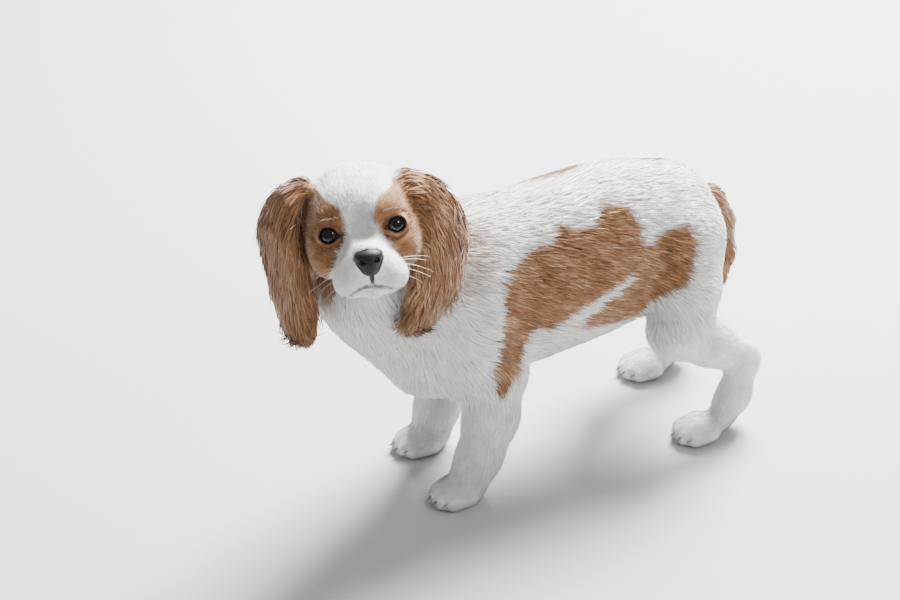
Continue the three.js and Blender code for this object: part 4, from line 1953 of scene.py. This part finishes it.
    def piece(
        self,
        name: str,
        root: dict[str, np.ndarray],
        grown: tuple[np.ndarray, ...],
        rng: np.random.Generator,
    ) -> bpy.types.Object:
        """One piece of the coat as joined tufts.

        Args:
            name: The piece's name.
            root: What roots() gave.
            grown: What grow() gave.
            rng: The source of chance.

        Returns:
            The piece, with its unwrap, normals and marks.
        """
        spine, across, width, outward = grown
        points, tri = self.weave(spine, across, width)
        n, per = points.shape[:2]
        a, b, c = points[0, tri[0]]
        if np.dot(np.cross(b - a, c - a), spine[0, 1] - spine[0, 0]) > 0:
            tri = tri[:, ::-1]
        faces = (np.arange(n)[:, None, None] * per + tri[None]).reshape(-1, 3)
        piece = mesh_piece(name, self.place.row(points.reshape(-1, 3)), faces)
        mesh = piece.data
        ring = np.minimum(np.arange(per) // 3, spine.shape[1] - 1)
        rise = ring / (spine.shape[1] - 1)
        lean = np.where(np.arange(per) % 3 == 0, 1.0, np.where(np.arange(per) % 3 == 1, -1.0, 0.0))
        lean[-1] = 0
        patch = self.uv_patch * np.stack([0.5 * lean, rise - 0.5], 1)
        uv = (root["uv"][:, None, :] + patch[None]).reshape(-1, 2)[faces.reshape(-1)]
        mesh.uv_layers.new(name="OFBake").uv.foreach_set("vector", uv.astype(np.float32).reshape(-1))
        sides = np.array([0.5, -0.5, 0.0])[np.arange(per) % 3]
        sides[-1] = 0
        facing = outward[:, ring] + across[:, None, :] * sides[None, :, None]
        keel = (np.arange(per) % 3 == 2) & (np.arange(per) < per - 1)
        facing[:, keel] *= -0.3
        mesh.normals_split_custom_set_from_vertices(units(facing.reshape(-1, 3)).tolist())
        tone = np.clip(0.46 + 0.30 * mottle(root["point"], 5.0, 41) + 0.20 * rng.normal(size=n), 0, 1)
        # Painted shade: each tuft is darker towards its root, where it lies among the other hairs, and
        # lighter towards its tip. The tone above varies at random.
        shade = np.clip(tone[:, None] + 0.22 * (rise[None] - 0.4), 0, 1).reshape(-1)
        mark(mesh, "shade", shade)
        mark(mesh, "chestnut", np.repeat(self.markings.chestnut(root["point"]), per))
        return piece

    def bristles(self) -> list[tuple[Sequence[float], Sequence[float], float, float]]:
        """The long stiff hairs of the face, in the head's frame: root, way, length and sag.

        Returns:
            One tuple for each hair.
        """
        rows = []
        for side in (1, -1):
            for row in range(2):
                for i in range(3):
                    at = (side * (15.5 + 1.5 * i), 29.0 - 6.0 * i, -22.0 - 5.5 * row)
                    way = (side * 1.0, 0.22 - 0.28 * i, 0.05 - 0.35 * row)
                    rows.append((at, way, 20.0 + 2.0 * i, 5.0))
            for i in range(4):
                at = (side * (15.0 + 2.6 * i), 9.0, 11.5 - 0.5 * i)
                rows.append((at, (side * (0.25 + 0.18 * i), 0.62, 0.66), 12.0, 5.5))
        return rows

    def whiskers(self, root: dict[str, np.ndarray], rng: np.random.Generator) -> bpy.types.Object:
        """Whiskers and brow hairs, rooted beside the nearest tufts.

        Args:
            root: What roots() gave.
            rng: The source of chance.

        Returns:
            The piece.
        """
        head = self.forms.head
        t = np.linspace(0, 1, self.whisker_rings + 1)[:, None]
        spines, chosen = [], []
        for at, way, length, sag in self.bristles():
            place = head.at(at)
            nearest = int(np.argmin(lengths(root["point"] - place)))
            chosen.append(nearest)
            bend = head.outward((0.0, 0.0, -1.0)) * sag
            start = root["point"][nearest] - root["normal"][nearest] * self.root_depth
            spines.append(start + head.outward(unit(way)) * length * t + bend * t * t)
        spine = np.array(spines)
        some = {key: value[chosen] for key, value in root.items()}
        ahead = units(spine[:, 1] - spine[:, 0])
        across = units(np.cross(some["normal"], ahead))
        outward = np.repeat(some["normal"][:, None, :], len(t), 1)
        width = np.full(len(spine), self.whisker_width)
        piece = self.piece("coat_whiskers", some, (spine, across, width, outward), rng)
        count = len(piece.data.vertices)
        pale = np.full(count, self.brow_paleness, np.float32)
        piece.data.attributes["chestnut"].data.foreach_set("value", pale)
        piece.data.attributes["shade"].data.foreach_set("value", np.ones(count, np.float32))
        return piece

    def build(self, skin_piece: bpy.types.Object) -> list[bpy.types.Object]:
        """Builds every piece of the coat.

        Args:
            skin_piece: The skin.

        Returns:
            The pieces.
        """
        rng = np.random.default_rng(self.seed)
        root = self.roots(rng, skin_piece)
        flowing = [Region.EAR, Region.TAIL]
        close_lying = [Region.MUZZLE, Region.FACE, Region.SKULL, Region.PAW, Region.LEG]
        long = root["region"][:, [region.column for region in flowing]].sum(1) > 0.5
        tiny = root["region"][:, [region.column for region in close_lying]].sum(1) > 0.5
        pieces = []
        kinds = (
            ("tiny", tiny, self.tiny_rings),
            ("short", ~tiny & ~long, self.short_rings),
            ("long", long, self.long_rings),
        )
        for label, chosen, rings in kinds:
            LOG.info("%s tufts: %d", label, chosen.sum())
            some = {key: value[chosen] for key, value in root.items()}
            grown = self.grow(some, rng, rings)
            per = 6 * (rings - 1) + 4
            size = self.piece_limit // per
            for i, start in enumerate(range(0, len(some["point"]), size)):
                cut = slice(start, start + size)
                part = {key: value[cut] for key, value in some.items()}
                cut_grown = tuple(values[cut] for values in grown)
                pieces.append(self.piece(f"coat_{label}_{i + 1}", part, cut_grown, rng))
        pieces.append(self.whiskers(root, rng))
        return pieces


# Eyes, nose and claws


@dataclass
class Eyes:
    """Two eyeballs with a slightly raised cornea."""

    forms: Forms
    place: Place
    skin: Skin
    finish: EyeFinish = field(default_factory=EyeFinish)
    cornea: float = 0.55
    cornea_edge: float = 0.78

    def build(self) -> None:
        """Builds and dresses both eyes."""
        for side, name in ((1, "eye_left"), (-1, "eye_right")):
            centre = self.place.row(self.forms.head.at(self.skin.eye_centre(side))[None])[0]
            gaze = self.forms.head.outward(self.skin.gaze(side))
            bpy.ops.object.select_all(action="DESELECT")
            radius = self.forms.eye_radius * MM
            bpy.ops.mesh.primitive_uv_sphere_add(segments=64, ring_count=40, radius=radius)
            ball = bpy.context.active_object
            ball.name = f"{name}_ball"
            ball.rotation_mode = "QUATERNION"
            ball.rotation_quaternion = Vector(gaze).to_track_quat("Z", "Y")
            ball.location = Vector(centre)
            bpy.ops.object.transform_apply(location=True, rotation=True, scale=True)
            off = points_of(ball.data) - centre
            facing = off @ gaze / radius
            rise = self.cornea * MM * ramp(self.cornea_edge, 1.0, facing)
            put_points(ball.data, centre + off + units(off) * rise[:, None])
            bpy.ops.object.shade_smooth()
            look = self.finish.material(f"{name}_gloss", centre, gaze)
            hand_over(ball, look, [name])


@dataclass
class Nose:
    """The nose leather, with nostrils and the groove between them."""

    forms: Forms
    place: Place
    cell: float = 0.55
    search_low: tuple[float, float, float] = (-12, 24, -29)
    search_high: tuple[float, float, float] = (12, 42, -5)

    def build(self) -> None:
        """Builds and dresses the nose."""
        points, faces = net(self.forms.nose_field, self.search_low, self.search_high, self.cell, 2)
        dog = self.forms.head.at(points)
        piece = mesh_piece("nose_leather", self.place.row(dog), faces[:, ::-1])
        mesh = piece.data
        q = settle(self.forms.nose_field, points, links_of(mesh), 4, 0.3)
        put_points(mesh, self.place.row(self.forms.head.at(q)))
        hand_over(piece, NoseFinish().material(), ["nose"])


@dataclass
class Claws:
    """Sixteen curved claws, one modelled and copied to each toe."""

    forms: Forms
    place: Place
    radius: float = 1.75
    length: float = 6.6
    turns: int = 5
    bend: float = 9.0
    fan: float = 0.018
    sunk: float = 3.6
    height: float = 7.6

    def model(self) -> bpy.types.Object:
        """Models one claw along +X, bending down, at the origin.

        Returns:
            The claw, which is removed when it has been copied.
        """
        bpy.ops.object.select_all(action="DESELECT")
        bpy.ops.mesh.primitive_circle_add(
            vertices=10, radius=self.radius * MM, fill_type="NGON", rotation=(0, math.radians(90), 0)
        )
        claw = bpy.context.active_object
        bpy.ops.object.transform_apply(rotation=True)
        bpy.ops.object.mode_set(mode="EDIT")
        step = self.length / self.turns * MM
        for turn in range(self.turns):
            aim = math.radians(self.bend * turn)
            move = (step * math.cos(aim), 0, -step * math.sin(aim))
            bpy.ops.mesh.extrude_region_move(TRANSFORM_OT_translate={"value": move})
            shrink = 0.86 - 0.11 * turn
            bpy.ops.transform.resize(value=(shrink, shrink, shrink))
        bpy.ops.mesh.select_all(action="SELECT")
        bpy.ops.mesh.normals_make_consistent(inside=False)
        bpy.ops.object.mode_set(mode="OBJECT")
        bpy.ops.object.shade_smooth_by_angle(angle=math.radians(50))
        return claw

    def build(self) -> None:
        """Copies the claw to each toe and dresses it."""
        model = self.model()
        shape = points_of(model.data) / MM
        look = HornFinish().material()
        names = {
            Part.FRONT_LEFT: "front_left",
            Part.FRONT_RIGHT: "front_right",
            Part.HIND_LEFT: "hind_left",
            Part.HIND_RIGHT: "hind_right",
        }
        for part, label in names.items():
            leg = self.forms.legs[part]
            ahead = leg.ahead()
            left = np.array([-ahead[1], ahead[0], 0])
            for i, (across, reach, r) in enumerate(TOES):
                way = unit(ahead - left * across * self.fan)
                beside = np.array([-way[1], way[0], 0])
                start = leg.toe(across, reach + r - self.sunk, self.height)
                dog = start + shape @ np.array([way, beside, (0.0, 0.0, 1.0)])
                mesh = model.data.copy()
                piece = bpy.data.objects.new(f"horn_{label}_{i + 1}", mesh)
                bpy.context.scene.collection.objects.link(piece)
                put_points(mesh, self.place.row(dog))
                hand_over(piece, look, [f"claw_{label}_{i + 1}"])
        bpy.data.objects.remove(model)


# The studio


@dataclass
class Studio:
    """A pale floor, soft lights and the camera at the photograph's angle, in metres."""

    target: tuple[float, float, float] = (-0.10239, -0.00735, 0.08714)
    camera_at: tuple[float, float, float] = (1.37858, -0.7948, 1.1764)
    lens: float = 101.6
    # Powers are in watts, and sizes are the sides of the lights' squares
    key_at: tuple[float, float, float] = (-0.75, 0.95, 1.55)
    key_power: float = 300.0
    fill_at: tuple[float, float, float] = (1.45, 0.55, 1.5)
    fill_power: float = 12.0
    key_size: float = 0.9
    fill_size: float = 0.36
    sky: float = 0.48
    sky_colour: Colour = (0.93, 0.96, 1.0, 1)
    floor_size: float = 12.0
    floor_gap: float = 0.0002

    def camera(self) -> None:
        """Places the camera."""
        data = bpy.data.cameras.new("camera")
        data.lens = self.lens
        data.sensor_width = 36.0
        data.clip_start, data.clip_end = 0.05, 50
        camera = bpy.data.objects.new("camera", data)
        bpy.context.scene.collection.objects.link(camera)
        camera.location = Vector(self.camera_at)
        camera.rotation_euler = (Vector(self.target) - camera.location).to_track_quat("-Z", "Y").to_euler()
        bpy.context.scene.camera = camera

    def light(self, name: str, at: tuple[float, float, float], power: float, size: float) -> None:
        """Places one soft square light aimed at the dog.

        Args:
            name: The light's name.
            at: Its place.
            power: Its power in watts.
            size: The side of its square.
        """
        data = bpy.data.lights.new(name, "AREA")
        data.energy = power
        data.size = size
        lamp = bpy.data.objects.new(name, data)
        bpy.context.scene.collection.objects.link(lamp)
        lamp.location = Vector(at)
        lamp.rotation_euler = (Vector((0, 0, 0.15)) - lamp.location).to_track_quat("-Z", "Y").to_euler()

    def build(self) -> None:
        """Builds the floor, the lights and the sky."""
        bpy.ops.object.select_all(action="DESELECT")
        bpy.ops.mesh.primitive_plane_add(size=self.floor_size, location=(0, 0, -self.floor_gap))
        floor = bpy.context.active_object
        floor.name = "floor"
        bpy.ops.object.transform_apply(location=True)
        floor.data.materials.append(FloorFinish().material())
        self.camera()
        self.light("key", self.key_at, self.key_power, self.key_size)
        self.light("fill", self.fill_at, self.fill_power, self.fill_size)
        world = bpy.data.worlds.new("sky")
        bpy.context.scene.world = world
        world.use_nodes = True
        glow = world.node_tree.nodes["Background"]
        glow.inputs[0].default_value = self.sky_colour
        glow.inputs[1].default_value = self.sky


FLESH = (
    "trunk",
    "neck",
    "head",
    "tail",
    "ear_left",
    "ear_right",
    "leg_front_left",
    "leg_front_right",
    "leg_hind_left",
    "leg_hind_right",
)


def corners(bounds: tuple[Vector, Vector]) -> list[list[float]]:
    """A box as plain lists."""
    return [[round(c, 6) for c in corner] for corner in bounds]


def main() -> None:
    """Builds the puppy and its studio."""
    logging.basicConfig(level=logging.INFO, format="%(message)s")
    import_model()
    forms = Forms()
    low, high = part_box("eye_left")
    middle = np.array((low + high) / 2) / MM
    own = forms.head.at((forms.eye_spread, forms.eye_back, 0))
    place = Place(middle - own)
    LOG.info("shift %s", place.shift.round(3))
    markings = Markings(forms)
    skin = Skin(forms, place, markings)
    finish = CoatFinish()
    skin_piece = skin.build()
    hand_over(skin_piece, finish.skin(), FLESH)
    hair = finish.hair()
    for piece in Coat(forms, place, markings, skin).build(skin_piece):
        hand_over(piece, hair)
    Eyes(forms, place, skin).build()
    Nose(forms, place).build()
    Claws(forms, place).build()
    Studio().build()


if __name__ == "__main__":
    main()
